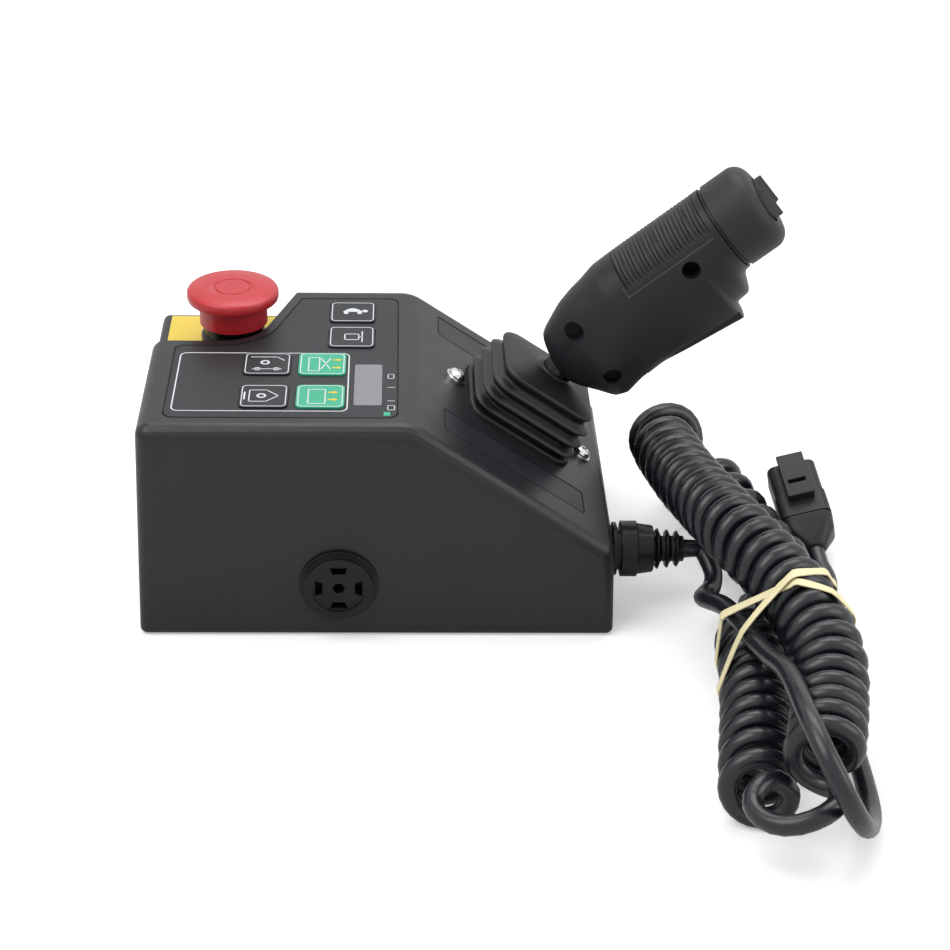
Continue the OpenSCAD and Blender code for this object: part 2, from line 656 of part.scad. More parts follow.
// Grip frame: local Z runs up the grip, local X towards the trigger
neck_gap = 2.5;
grip_h = boot_h + neck_gap;
shaft_top = 11;
cap_axis_share = -0.222;
module on_grip() { on_slope(joy_s, joy_y, grip_h) rotate([0, grip_rake, 0]) children(); }
// Sections: [length share, centre, back, front, half width (shares of grip_d), pinch share]
grip_section_shares = [[0, 0.013, 0.2, 0.2, 0.18, 0], [0.027, -0.025, 0.37, 0.35, 0.28, 0],
    [0.054, -0.025, 0.42, 0.43, 0.33, 0], [0.087, 0, 0.485, 0.51, 0.37, 0],
    [0.13, 0.025, 0.56, 0.64, 0.41, 0.1], [0.184, 0.013, 0.605, 0.695, 0.445, 0.15],
    [0.26, -0.04, 0.6, 0.705, 0.47, 0.2], [0.325, -0.1, 0.565, 0.755, 0.485, 0.2],
    [0.41, -0.18, 0.535, 0.825, 0.495, 0.2], [0.54, -0.222, 0.5, 0.91, 0.5, 0.2],
    [0.68, -0.222, 0.5, 0.945, 0.5, 0.2], [0.835, -0.222, 0.5, 0.985, 0.5, 0.2],
    [0.842, -0.222, 0.5, 0.78, 0.5, 0.2], [0.92, -0.222, 0.5, 0.755, 0.5, 0.18],
    [0.938, -0.222, 0.5, 0.68, 0.5, 0.12], [0.955, -0.222, 0.5, 0.56, 0.5, 0.05],
    [0.975, -0.222, 0.5, 0.51, 0.5, 0], [1, -0.222, 0.5, 0.5, 0.5, 0]];
grip_n = 28;
blunt = 2.4;
function side_power(c, pinch) = pow(1 - pow(abs(c), 2 + (blunt - 2)*min(1, 5*pinch)),
    1/(2 + (blunt - 2)*min(1, 5*pinch)));
function grip_ring(s, t) = [for (i = [0:grip_n - 1]) let(a = 360*i/grip_n, c = cos(a),
    fore = c > 0, reach = (fore ? s[3] : s[2])*grip_d - t, half = s[4]*grip_d - t,
    w = fore ? (1 - s[5]*c*c)*side_power(c, s[5]) : abs(sin(a)))
    [s[1]*grip_d + reach*c, half*w*sign(sin(a)), s[0]*grip_len]];
module grip_form(t, first) {
    rows = [for (i = [first:len(grip_section_shares) - 1]) grip_section_shares[i]];
    tube_skin(concat([for (s = rows) grip_ring(s, t)],
        t > 0 ? [[for (p = grip_ring(rows[len(rows) - 1], t)) p + [0, 0, over]]] : []), grip_n);
}
// Trigger: seam line of the shell and inner line of the trigger, in the grip frame
seam_shares = [0.307, 0.506, 0.842];
seam_u = [for (s = seam_shares) s*grip_len];
seam_v = [26.2, 21.5, 22.4];
trig_u = grip_len*0.2865;
trig_v = 20.5;
trig_hub_r = 3.2;
trig_half = 7.2;
trig_slot = trig_half + gap;
trig_in_v = 17.4;
trig_tip_u = grip_len*0.8303;
trig_pin_r = 1.5;
far_v = grip_d;
module seam_cut() {
    rotate([90, 0, 0]) linear_extrude(grip_d + 2*over, center = true)
        polygon([[seam_v[0] + seat, seam_u[0]], [seam_v[1], seam_u[1]], [seam_v[2], seam_u[2]],
            [far_v, seam_u[2]], [far_v, seam_u[0]]]);
}
module trigger_slot() {
    rotate([90, 0, 0]) linear_extrude(2*trig_slot, center = true) polygon([
        [trig_v - trig_hub_r - 2*gap, trig_u - trig_hub_r - 2*gap],
        [trig_v + trig_hub_r/2 + gap, trig_u - trig_hub_r - 2*gap],
        [trig_v + trig_hub_r + 2*gap, trig_u - trig_hub_r/2 - gap],
        [far_v, seam_u[0]], [far_v, seam_u[2]], [trig_in_v - 8, seam_u[2]],
        [trig_in_v - 3, seam_u[1]], [trig_v - trig_hub_r - 2*gap, seam_u[0]]]);
}
grip_screw_uv = [[grip_len*0.1935, -14.6], [grip_len*0.8011, -9.6], [grip_len*0.2011, 11.5]];
grip_boss_r = 5.2;
grip_head_r = 3.7;
grip_head_in = 9;
grip_thread_r = 1.4;
grip_shaft_r = shaft_d/2;
cap_u = grip_len + 1.8;
module grip_bosses() {
    intersection() {
        grip_form(0, 0);
        for (p = [grip_screw_uv[1]]) translate([p[1], 0, p[0]]) rotate([90, 0, 0])
            cylinder(r = grip_boss_r, h = 2*grip_d, center = true, $fn = small_fn);
    }
}
module grip_solid() {
    difference() {
        union() {
            difference() {
                grip_form(0, 0);
                grip_form(grip_wall, 6);
                trigger_slot();
            }
            grip_bosses();
        }
        seam_cut();
        on_shaft_axis() translate([0, 0, -shaft_top])
            cylinder(r = grip_shaft_r + seat/2, h = 2*shaft_top, $fn = round_fn);
        for (p = grip_screw_uv) translate([p[1], 0, p[0]]) rotate([90, 0, 0]) {
            cylinder(r = grip_thread_r + seat, h = 2*grip_head_in, center = true, $fn = small_fn);
            translate([0, 0, grip_head_in]) cylinder(r = grip_head_r + gap, h = grip_d, $fn = small_fn);
        }
        translate([trig_v, 0, trig_u]) rotate([90, 0, 0])
            cylinder(r = trig_pin_r, h = 2*(trig_half + grip_wall), center = true, $fn = small_fn);
    }
}
module on_shaft_axis() { rotate([0, -grip_rake, 0]) children(); }
module half_space(side) {
    translate([-2*grip_d, side > 0 ? 0 : -grip_d, -grip_len])
        cube([4*grip_d, grip_d, 3*grip_len]);
}
module grip_near() {
    color([0.19, 0.2, 0.22]) on_grip() intersection() { grip_solid(); half_space(-1); }
}
module grip_far() {
    color([0.19, 0.2, 0.22]) on_grip() intersection() { grip_solid(); half_space(1); }
}
grip_screw_len = 17;
module grip_screws() {
    color([0.35, 0.35, 0.36]) on_grip() for (p = grip_screw_uv) translate([p[1], 0, p[0]])
        rotate([90, 0, 0]) {
            translate([0, 0, grip_head_in]) cylinder(r = grip_head_r, h = 2*over, $fn = small_fn);
            translate([0, 0, grip_head_in - grip_screw_len])
                cylinder(r = grip_thread_r, h = grip_screw_len, $fn = small_fn);
        }
}
module lever_shaft() {
    color([0.3, 0.3, 0.32]) difference() {
        union() {
            on_pivot() cylinder(d = shaft_d, h = grip_h - pivot_h + shaft_top - over, $fn = round_fn);
            on_pivot() rotate([90, 0, 0]) cylinder(r = hub_r, h = hub_w, center = true, $fn = round_fn);
        }
        on_pivot() rotate([90, 0, 0])
            cylinder(r = pin_r + run_fit, h = hub_w + 2*over, center = true, $fn = round_fn);
    }
}

// Cap, its ring, the thumb rocker and the rocker's pin and carrier
cap_r = grip_d/2;
cap_wall = 2.2;
cap_round = 6.5;
ring_in = 0.9;
slot_len = 30.6;
slot_wid = 15;
rock_r = 19.2;
rock_drop = 14;
rock_end = 2.2;
rock_u = cap_u + cap_h - rock_drop;
rock_pin_r = 1.5;
rock_hub_r = 3.2;
module on_cap(u) { on_grip() translate([cap_axis_share*grip_d, 0, u]) children(); }
module slot_prism(side, end, h) {
    centre_y = (slot_len - slot_wid)/2 - end + side;
    linear_extrude(h) {
        square([slot_wid - 2*side, 2*centre_y], center = true);
        for (e = [-1, 1]) translate([0, e*centre_y]) circle(r = slot_wid/2 - side, $fn = small_fn);
    }
}
module cap_ring() {
    color([0.12, 0.12, 0.13]) on_cap(grip_len) difference() {
        union() {
            cylinder(r = cap_r - 2*ring_in, h = cap_u - grip_len, $fn = round_fn);
            translate([0, 0, (cap_u - grip_len)/3])
                cylinder(r = cap_r - ring_in, h = (cap_u - grip_len)/3, $fn = round_fn);
        }
        translate([0, 0, -over]) cylinder(r = cap_r - grip_wall - 2*ring_in, h = cap_u, $fn = round_fn);
    }
}
module thumb_cap() {
    color([0.2, 0.21, 0.22]) on_cap(cap_u) difference() {
        rotate_extrude($fn = round_fn) difference() {
            union() {
                square([cap_r - cap_round, cap_h]);
                square([cap_r, cap_h - cap_round]);
                translate([cap_r - cap_round, cap_h - cap_round]) circle(r = cap_round, $fn = small_fn);
            }
            translate([0, -over]) square([cap_r - cap_wall, cap_h - cap_round + over]);
            translate([0, -over]) square([cap_r - cap_round, cap_h - cap_wall + over]);
        }
        slot_prism(0, 0, cap_h + over);
    }
}
rocker_plate_t = 1.4;
ear_t = 2;
ear_v = slot_wid/2 + over;
module rocker_base() {
    color([0.24, 0.24, 0.26]) on_cap(cap_u) difference() {
        union() {
            cylinder(r = cap_r - cap_wall - seat, h = rocker_plate_t, $fn = round_fn);
            for (e = [-1, 1]) translate([e*(ear_v + ear_t/2) - ear_t/2, -rock_hub_r, 0])
                cube([ear_t, 2*rock_hub_r, rock_u - cap_u + rock_pin_r + over]);
        }
        translate([0, 0, rock_u - cap_u]) rotate([0, 90, 0])
            cylinder(r = rock_pin_r, h = 4*slot_wid, center = true, $fn = small_fn);
    }
}
module rocker_pin() {
    color([0.7, 0.7, 0.72]) on_cap(rock_u) rotate([0, 90, 0])
        cylinder(r = rock_pin_r, h = 2*(ear_v + ear_t), center = true, $fn = small_fn);
}
module thumb_rocker() {
    dip_r = 9;
    body_low = 1.2;
    color([0.2, 0.21, 0.22]) on_cap(rock_u) difference() {
        union() {
            intersection() {
                translate([0, 0, body_low]) slot_prism(2*gap, rock_end, rock_r);
                rotate([0, 90, 0]) cylinder(r = rock_r, h = 2*slot_wid, center = true, $fn = round_fn);
            }
            rotate([0, 90, 0]) cylinder(r = rock_hub_r, h = slot_wid - over, center = true, $fn = small_fn);
        }
        translate([0, 0, rock_drop + dip_r + over/2]) rotate([0, 90, 0])
            cylinder(r = dip_r, h = 2*slot_wid, center = true, $fn = round_fn);
        rotate([0, 90, 0]) cylinder(r = rock_pin_r + run_fit, h = 2*slot_wid, center = true, $fn = small_fn);
    }
}

// Trigger with its pin, switch and spring
module trigger() {
    color([0.13, 0.13, 0.14]) on_grip() difference() {
        union() {
            intersection() {
                grip_form(0, 0);
                rotate([90, 0, 0]) linear_extrude(2*trig_half, center = true) polygon([
                    [trig_v - over, seam_u[0] + over], [far_v, seam_u[0] + over], [far_v, trig_tip_u],
                    [trig_in_v, trig_tip_u], [trig_in_v, seam_u[1]]]);
            }
            translate([trig_v, 0, trig_u]) rotate([90, 0, 0])
                cylinder(r = trig_hub_r, h = 2*trig_half, center = true, $fn = small_fn);
            translate([trig_v - over, -trig_half, trig_u])
                cube([trig_hub_r + over/2, 2*trig_half, seam_u[0] + 3*over - trig_u]);
        }
        translate([trig_v, 0, trig_u]) rotate([90, 0, 0])
            cylinder(r = trig_pin_r + run_fit, h = grip_d, center = true, $fn = small_fn);
    }
}
module trigger_pin() {
    color([0.7, 0.7, 0.72]) on_grip() translate([trig_v, 0, trig_u]) rotate([90, 0, 0])
        cylinder(r = trig_pin_r, h = 2*(trig_half + grip_wall) - over, center = true, $fn = small_fn);
}
trig_switch_l = grip_len*0.173;
trig_switch_h = 5;
trig_switch_w = 6;
trig_switch_u = grip_screw_uv[1][0];
trig_switch_v = grip_screw_uv[1][1] + grip_boss_r + seat;
module trigger_switch() {
    color([0.2, 0.2, 0.45]) on_grip()
        translate([trig_switch_v, -trig_switch_w/2, trig_switch_u - trig_switch_l/2])
            cube([trig_switch_h, trig_switch_w, trig_switch_l]);
}
trig_spring_r = 2;
trig_spring_d = 0.7;
module trigger_spring() {
    v0 = trig_switch_v + trig_switch_h + seat;
    color([0.75, 0.75, 0.76]) on_grip() translate([0, 0, trig_switch_u - trig_switch_l/4])
        rotate([0, 90, 0]) coil_spring(trig_spring_r, trig_spring_d, 4, v0 + trig_spring_d/2,
            trig_in_v - gap - trig_spring_d/2);
}

// Cable gland in the nose
gland_neck_r = 9.2;
gland_hex_l = 14;
gland_cone_l = 8;
gland_tail_l = 10.5;
gland_nut_t = 5;
gland_seat_t = 3.5;
rib_r = 9;
gland_end_x = box_l/2 + 31;
module at_gland(x) { translate([x, gland_y, gland_z]) rotate([0, 90, 0]) children(); }
gland_x0 = box_l/2 + 0.2;
gland_x1 = gland_x0 + gland_seat_t;
gland_x2 = gland_x1 + gland_hex_l;
module gland_body() {
    color([0.09, 0.09, 0.095]) difference() {
        union() {
            at_gland(gland_face_x - wall - gland_nut_t - over)
                cylinder(r = gland_stem_r, h = gland_x0 - gland_face_x + wall + gland_nut_t + 2*over,
                    $fn = round_fn);
            at_gland(gland_x0) cylinder(r = gland_d/2 - over/2, h = gland_seat_t/2, $fn = round_fn);
            at_gland(gland_x0) cylinder(r = gland_neck_r, h = gland_seat_t + 3*over, $fn = round_fn);
        }
        at_gland(box_l/2 - 4*wall) cylinder(r = cord_d/2, h = 8*wall, $fn = round_fn);
    }
}
module gland_locknut() {
    color([0.3, 0.3, 0.31]) at_gland(gland_face_x - wall - gland_nut_t - gap) difference() {
        rotate([0, 0, 30]) cylinder(r = gland_stem_r + 1.1*wall, h = gland_nut_t, $fn = 6);
        translate([0, 0, -over])
            cylinder(r = gland_stem_r + run_fit, h = gland_nut_t + 2*over, $fn = round_fn);
    }
}
module gland_tail() {
    rib_pitch = gland_tail_l/3;
    color([0.09, 0.09, 0.095]) difference() {
        union() {
            at_gland(gland_x1) cylinder(r = gland_d/2, h = gland_hex_l/2, $fn = small_fn);
            at_gland(gland_x1 + gland_hex_l/2)
                cylinder(r1 = gland_d/2 - over, r2 = gland_d/2 - 2*over, h = gland_hex_l/2, $fn = small_fn);
            at_gland(gland_x2) cylinder(r = cord_d/2 + 3*over/2, h = gland_end_x - gland_x2, $fn = small_fn);
            for (i = [0:2]) at_gland(gland_x2 + over + i*(gland_end_x - gland_x2 - over)/3)
                rotate_extrude($fn = round_fn) polygon([[0, 0], [rib_r - i*over/2 - over, 0],
                    [rib_r - i*over/2, rib_pitch/3], [cord_d/2 + over, rib_pitch*0.8], [0, rib_pitch*0.8]]);
        }
        at_gland(gland_x0)
            cylinder(r = gland_neck_r + run_fit, h = gland_seat_t + 3*over + run_fit, $fn = round_fn);
        at_gland(gland_x0) cylinder(r = cord_d/2, h = box_l, $fn = round_fn);
    }
}

// Curly cord. Route rows: [turn, x, y, z, radius share, angle of the reference line].
curl_r = (curl_od - cord_d)/2;
CURL_ROUTE = [[0, 176, -57, 15.5, 0, 48], [0.25, 175.5, -49, 15.5, 0.3, 48],
    [1, 173, -36, 15.5, 1, 48], [3.25, 164, -7, 15.5, 1, 48], [5, 157, 18, 15.5, 1, 48],
    [6.25, 152, 36, 15.5, 1, 48], [6.5, 149, 45, 17, 1, 48], [6.75, 141.5, 50, 26, 1, 48],
    [7, 133, 46, 35.5, 1, 48], [7.25, 129, 37, 37.5, 1, 48], [8.5, 130, 24, 38.5, 1, 50],
    [12.25, 137, -13, 42, 1, 64], [17.5, 150, -62, 47.5, 1, 90], [22, 167, -104, 45.5, 1, 105],
    [26, 175, -144, 42, 1, 120], [29, 171, -176, 40, 1, 135], [32.25, 164, -207, 39.5, 1, 140],
    [32.5, 161, -215, 37, 1, 140], [32.75, 153.5, -219, 27.5, 1, 140],
    [33, 147, -213, 18, 1, 140], [33.25, 143.5, -203, 15.5, 1, 140],
    [35.25, 146, -176, 15.5, 1, 140], [38, 150, -147, 16.2, 1, 140],
    [41, 153, -116, 16.4, 1, 140], [43, 154, -96, 15.5, 1, 140],
    [43.75, 154.5, -83, 15.5, 0.3, 140], [44, 155, -75, 15.5, 0, 140]];
curl_first = CURL_ROUTE[0][0];
curl_last = CURL_ROUTE[len(CURL_ROUTE) - 1][0];
rings_per_turn = 8;
curl_sides = 6;
function tail(v) = [for (i = [1:len(v) - 1]) v[i]];
function unit(v) = v/norm(v);
function row_at(t, i = 0) = i >= len(CURL_ROUTE) - 2 || t < CURL_ROUTE[i + 1][0] ? i : row_at(t, i + 1);
function row_slope(j) = let(a = CURL_ROUTE[max(j - 1, 0)],
    b = CURL_ROUTE[min(j + 1, len(CURL_ROUTE) - 1)]) (tail(b) - tail(a))/(b[0] - a[0]);
function route(t) = let(i = row_at(t), p = CURL_ROUTE[i], q = CURL_ROUTE[i + 1], h = q[0] - p[0],
    s = (t - p[0])/h)
    (2*s*s*s - 3*s*s + 1)*tail(p) + (s*s*s - 2*s*s + s)*h*row_slope(i)
    + (3*s*s - 2*s*s*s)*tail(q) + (s*s*s - s*s)*h*row_slope(i + 1);
function place(c) = [c[0], c[1], c[2]];
function axis_at(t) = let(e = 0.001)
    unit(place(route(min(t + e, curl_last))) - place(route(max(t - e, curl_first))));
function curl_point(t) = let(c = route(t), d = axis_at(t), ref = [cos(c[4]), 0, sin(c[4])],
    e1 = unit(ref - (ref*d)*d), e2 = cross(d, e1), r = curl_r*min(max(c[3], 0), 1))
    place(c) + r*(cos(360*t)*e1 + sin(360*t)*e2);
// Rings of a tube along points: each ring's first side follows the one before it
function turned(prev, d) = unit(prev - (prev*d)*d);
function tangent(p, i) = i == 0 ? unit(p[1] - p[0]) : i == len(p) - 1 ? unit(p[i] - p[i - 1])
    : unit(unit(p[i + 1] - p[i]) + unit(p[i] - p[i - 1]));
function side_lines(p, i = 0, prev = [0, 0, 1], out = []) = i == len(p) ? out :
    let(s = turned(prev, tangent(p, i))) side_lines(p, i + 1, s, concat(out, [s]));
module cord_tube(p, d, n) {
    lines = side_lines(p);
    tube_skin([for (i = [0:len(p) - 1]) let(t = tangent(p, i), a = lines[i], b = cross(t, a))
        [for (k = [0:n - 1]) p[i] + d/2*(cos(360*k/n)*b + sin(360*k/n)*a)]], n);
}
curl_points = function() [for (k = [0:(curl_last - curl_first)*rings_per_turn])
    curl_point(curl_first + k/rings_per_turn)];
function near_gap(p, skip) = min([for (i = [0:len(p) - skip - 1]) min([for (j = [i + skip:len(p) - 1])
    norm(p[i] - p[j])])]);
gap_samples = 16;
module cord_curls() {
    fine = [for (k = [0:(curl_last - curl_first)*gap_samples]) curl_point(curl_first + k/gap_samples)];
    echo(curl_gap_to_itself = near_gap(fine, gap_samples/2) - cord_d);
    color([0.13, 0.14, 0.155]) cord_tube(curl_points(), cord_d, curl_sides);
}

// Straight leads: round places chosen by hand, joined by a smooth curve
plug_rear = [194, -16, 10];
plug_turn = [-14, -19, 98];
plug_axis = [cos(plug_turn[2])*cos(plug_turn[1]), sin(plug_turn[2])*cos(plug_turn[1]), -sin(plug_turn[1])];
gland_exit = [gland_end_x, gland_y, gland_z];
LEAD_BOX = [[141, -44.5, 24.5], [143.5, -51, 20], [142, -58.5, 17.5], [138.5, -65, 18.5],
    [136.5, -73, 22], [138, -83, 27], [142, -95, 32], [146.5, -112, 35.5], [149.8, -131, 38.5],
    [152.3, -148, 43.5], [155, -167, 50.5], [155.7, -184, 54.6], [156, -200, 57.4],
    [157.5, -214, 57.6], [161.5, -226.5, 52.5], [167.5, -232.5, 42], [174, -230.5, 29.5],
    [180, -220.5, 17.5], [184.5, -207, 9], [187.5, -192, 4.8], [188.2, -174, 4.2],
    [187.8, -150, 4.2], [186.5, -127, 4.2], [184.5, -104, 6], [180, -84, 11.5]];
LEAD_PLUG = [[158, -58.5, 10], [165, -54, 5.4], [176, -53, 4.2], [186.5, -51, 4.2],
    [194, -44.5, 4.6], [197, -35, 5.8]];
lead_sides = 8;
function curve_point(a, b, c, d, t) = 0.5*(2*b + (c - a)*t + (2*a - 5*b + 4*c - d)*t*t
    + (3*b - a - 3*c + d)*t*t*t);
function smooth(p, n) = concat([for (i = [0:len(p) - 2], k = [0:n - 1]) curve_point(
    i == 0 ? 2*p[0] - p[1] : p[i - 1], p[i], p[i + 1],
    i == len(p) - 2 ? 2*p[i + 1] - p[i] : p[i + 2], k/n)], [p[len(p) - 1]]);
module cord_lead_box() {
    start = gland_exit;
    end = curl_point(curl_first);
    d = unit(curl_point(curl_first + 1/rings_per_turn) - end);
    mid = smooth(concat([start + [cord_d, 0, 0]], LEAD_BOX, [end - cord_d*d]), 2);
    color([0.13, 0.14, 0.155]) cord_tube(concat([start], mid, [end]), cord_d, lead_sides);
}
module cord_lead_plug() {
    start = curl_point(curl_last);
    d = unit(start - curl_point(curl_last - 1/rings_per_turn));
    mid = smooth(concat([start + cord_d*d], LEAD_PLUG, [plug_rear - cord_d*plug_axis]), 2);
    color([0.13, 0.14, 0.155]) cord_tube(concat([start], mid, [plug_rear]), cord_d, lead_sides);
}

// Plug: local X runs from the cord to the front, local Z is up through the latch
plug_w = 23;
plug_hh = 19;
plug_len = 30;
boot_len = 15;
latch_w = 12;
latch_l = 24;
latch_t = 2;
latch_lift = 2.2;
contact_r = 1.6;
module on_plug(x) { translate(plug_rear) rotate(plug_turn) translate([x, 0, 0]) children(); }
module plug_section(w, h, r, t) {
    rotate([90, 0, 90]) linear_extrude(t) rounded_rect(w, h, r);
}
module plug_boot() {
    color([0.15, 0.155, 0.165]) on_plug(0) hull() {
        rotate([0, 90, 0]) cylinder(r = cord_d/2 + over, h = over, $fn = hull_fn);
        translate([boot_len - over, 0, 0]) plug_section(plug_w, plug_hh, 5*over, over);
        translate([boot_len*0.55, 0, 0]) plug_section(plug_w*0.94, plug_hh*0.92, 5*over, over);
    }
}
module plug_housing() {
    color([0.16, 0.165, 0.175]) on_plug(boot_len) difference() {
        union() {
            plug_section(plug_w, plug_hh, 4*over, plug_len*0.42);
            plug_section(plug_w - over, plug_hh - over, 4*over, plug_len);
        }
        for (y = [-1, 1], z = [-1, 1]) translate([plug_len*0.4, y*plug_w/6, z*plug_hh/6]) rotate([0, 90, 0])
            cylinder(r = contact_r, h = plug_len, $fn = small_fn);
    }
}
module plug_latch() {
    z0 = plug_hh/2 + 0.05;
    color([0.16, 0.165, 0.175]) on_plug(boot_len + plug_len*0.25) difference() {
        union() {
            translate([0, -latch_w/2, z0]) cube([latch_t, latch_w, latch_lift + latch_t]);
            translate([0, -latch_w/2, z0 + latch_lift]) cube([latch_l, latch_w, latch_t]);
        }
        translate([latch_l*0.3, -latch_w/3, z0]) cube([latch_t, latch_w*2/3, latch_lift + 2*latch_t]);
    }
}

// Rubber bands: closed flat strips round the two runs and the lead, by hand-chosen places
band_t = 0.8;
LOWER_RING = [[139, 34.8], [138.4, 14.9], [141.2, 9], [143.5, 4.7], [147.2, 3.5], [154.3, 1.2],
    [164.6, 6.7], [187.6, 37.3], [187.8, 45.4], [187.3, 49.4], [178.9, 57.7], [166.3, 59.3],
    [162.2, 56.7], [140, 38.3]];
UPPER_RING = [[144.9, 40], [136.9, 15.6], [138.6, 11.5], [141.7, 5.2], [145.8, 3.5], [153.3, 1.1],
    [158, 1.3], [165.6, 4.9], [182.1, 37.4], [184, 48.9], [181.8, 52.3], [178.3, 57.4],
    [165.6, 60.7], [159.5, 56.6]];
band_base_y = -118;
band_mid_x = 161;
module band_loop(ring, tilt) {
    n = len(ring);
    p = [for (q = ring) [q[0], band_base_y + tilt*(q[0] - band_mid_x), q[1]]];
    rings = [for (i = [0:n - 1]) let(t = unit(p[(i + 1) % n] - p[(i + n - 1) % n]),
        w = unit([0, 1, 0] - t[1]*t), o = cross(w, t))
        [for (e = [[-1, 0], [1, 0], [1, 1], [-1, 1]]) p[i] + e[0]*band_w/2*w + e[1]*band_t*o]];
    color([0.86, 0.78, 0.55]) polyhedron([for (r = rings) each r],
        [for (j = [0:n - 1]) each ring_face(4, j*4, ((j + 1) % n)*4)]);
}
module band_lower() { band_loop(LOWER_RING, -0.35); }
module band_upper() { band_loop(UPPER_RING, 0.5); }

housing_shell();
base_plate();
base_gasket();
base_screws();
overlay_panel();
display_window();
display_module();
keypad_board();
board_screws();
key_switches();
stop_label_plate();
stop_collar();
stop_locknut();
stop_contact_block();
stop_spring();
stop_plunger();
stop_head();
key_lift_near();
key_lift_far();
key_drive_near();
key_drive_far();
key_speed();
key_horn();
alarm_bezel();
alarm_body();
alarm_nut();
slope_labels();
joystick_base();
pivot_pin();
sensor_board();
joystick_screws();
joystick_washers();
joystick_boot();
lever_shaft();
grip_near();
grip_far();
grip_screws();
cap_ring();
thumb_cap();
rocker_base();
rocker_pin();
thumb_rocker();
trigger();
trigger_pin();
trigger_switch();
trigger_spring();
gland_locknut();
gland_body();
gland_tail();
cord_lead_box();
cord_curls();
cord_lead_plug();
plug_boot();
plug_housing();
plug_latch();
band_lower();
band_upper();
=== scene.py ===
"""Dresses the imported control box: camera, light, cord, smooth shells, small details and materials."""
import math

import bmesh
import bpy
import numpy as np
from mathutils import Matrix, Vector


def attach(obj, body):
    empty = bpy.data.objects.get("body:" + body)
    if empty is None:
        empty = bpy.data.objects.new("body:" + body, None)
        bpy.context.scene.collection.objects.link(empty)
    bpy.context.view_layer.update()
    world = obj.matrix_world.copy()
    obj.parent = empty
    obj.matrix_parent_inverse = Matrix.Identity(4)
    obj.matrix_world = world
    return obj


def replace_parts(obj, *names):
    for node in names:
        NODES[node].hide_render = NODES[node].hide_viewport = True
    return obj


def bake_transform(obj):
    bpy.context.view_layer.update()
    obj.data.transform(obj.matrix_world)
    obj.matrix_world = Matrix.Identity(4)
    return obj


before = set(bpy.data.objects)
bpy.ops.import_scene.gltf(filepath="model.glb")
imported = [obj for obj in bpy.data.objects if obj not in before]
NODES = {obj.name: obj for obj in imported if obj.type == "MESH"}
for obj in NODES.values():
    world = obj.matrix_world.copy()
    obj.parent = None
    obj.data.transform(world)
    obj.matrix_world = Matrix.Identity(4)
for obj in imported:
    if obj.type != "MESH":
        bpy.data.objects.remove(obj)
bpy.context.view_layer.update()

MM = 0.001

# Sizes shared with the solids
BOX_L, BOX_H, NOSE_H, SLOPE_X = 200.0, 98.0, 40.0, 14.5
SLOPE = math.atan((BOX_H - NOSE_H) / (BOX_L / 2 - SLOPE_X))
JOY_S, JOY_Y = 56.0, 3.5
BOOT_W, BOOT_H, SHAFT_D = 52.6, 28.0, 12.0
GRIP_H, GRIP_RAKE, GRIP_LEN, GRIP_D = 30.5, math.radians(16.85), 92.5, 39.2
CORD_D, CURL_R = 8.0, 11.25
GLAND_Y, GLAND_Z, GLAND_END = -42.0, 27.0, 131.0


def turn(angle, axis):
    return Matrix.Rotation(angle, 4, axis)


def shift(x, y, z):
    return Matrix.Translation(Vector((x, y, z)) * MM)


ON_SLOPE = shift(SLOPE_X, 0, BOX_H) @ turn(SLOPE, "Y")
AT_JOY = ON_SLOPE @ shift(JOY_S, JOY_Y, 0)
ON_GRIP = ON_SLOPE @ shift(JOY_S, JOY_Y, GRIP_H) @ turn(GRIP_RAKE, "Y")

# Camera and light
PHOTO_PX = 950
FOCAL_PX = 2273.95
PITCH, YAW, ROLL = math.radians(29.718), math.radians(2.207), math.radians(1.309)
EYE = Vector((8.875, -871.981, 537.102)) * MM


def make_camera():
    ahead = Vector((math.sin(YAW) * math.cos(PITCH), math.cos(YAW) * math.cos(PITCH), -math.sin(PITCH)))
    right = Vector((math.cos(YAW), -math.sin(YAW), 0))
    up = right.cross(ahead)
    r = math.cos(ROLL) * right + math.sin(ROLL) * up
    u = -math.sin(ROLL) * right + math.cos(ROLL) * up
    data = bpy.data.cameras.new("camera")
    data.sensor_width = 36.0
    data.lens = FOCAL_PX / PHOTO_PX * data.sensor_width
    camera = bpy.data.objects.new("camera", data)
    bpy.context.scene.collection.objects.link(camera)
    camera.matrix_world = Matrix.Translation(EYE) @ Matrix((r, u, -ahead)).transposed().to_4x4()
    bpy.context.scene.camera = camera


def area_light(name, place, aim, size, watts, colour=(1, 1, 1)):
    data = bpy.data.lights.new(name, "AREA")
    data.shape = "RECTANGLE"
    data.size, data.size_y = size
    data.energy = watts
    data.color = colour
    lamp = bpy.data.objects.new(name, data)
    bpy.context.scene.collection.objects.link(lamp)
    lamp.location = place
    lamp.rotation_mode = "QUATERNION"
    lamp.rotation_quaternion = (Vector(aim) - Vector(place)).to_track_quat("-Z", "Y")


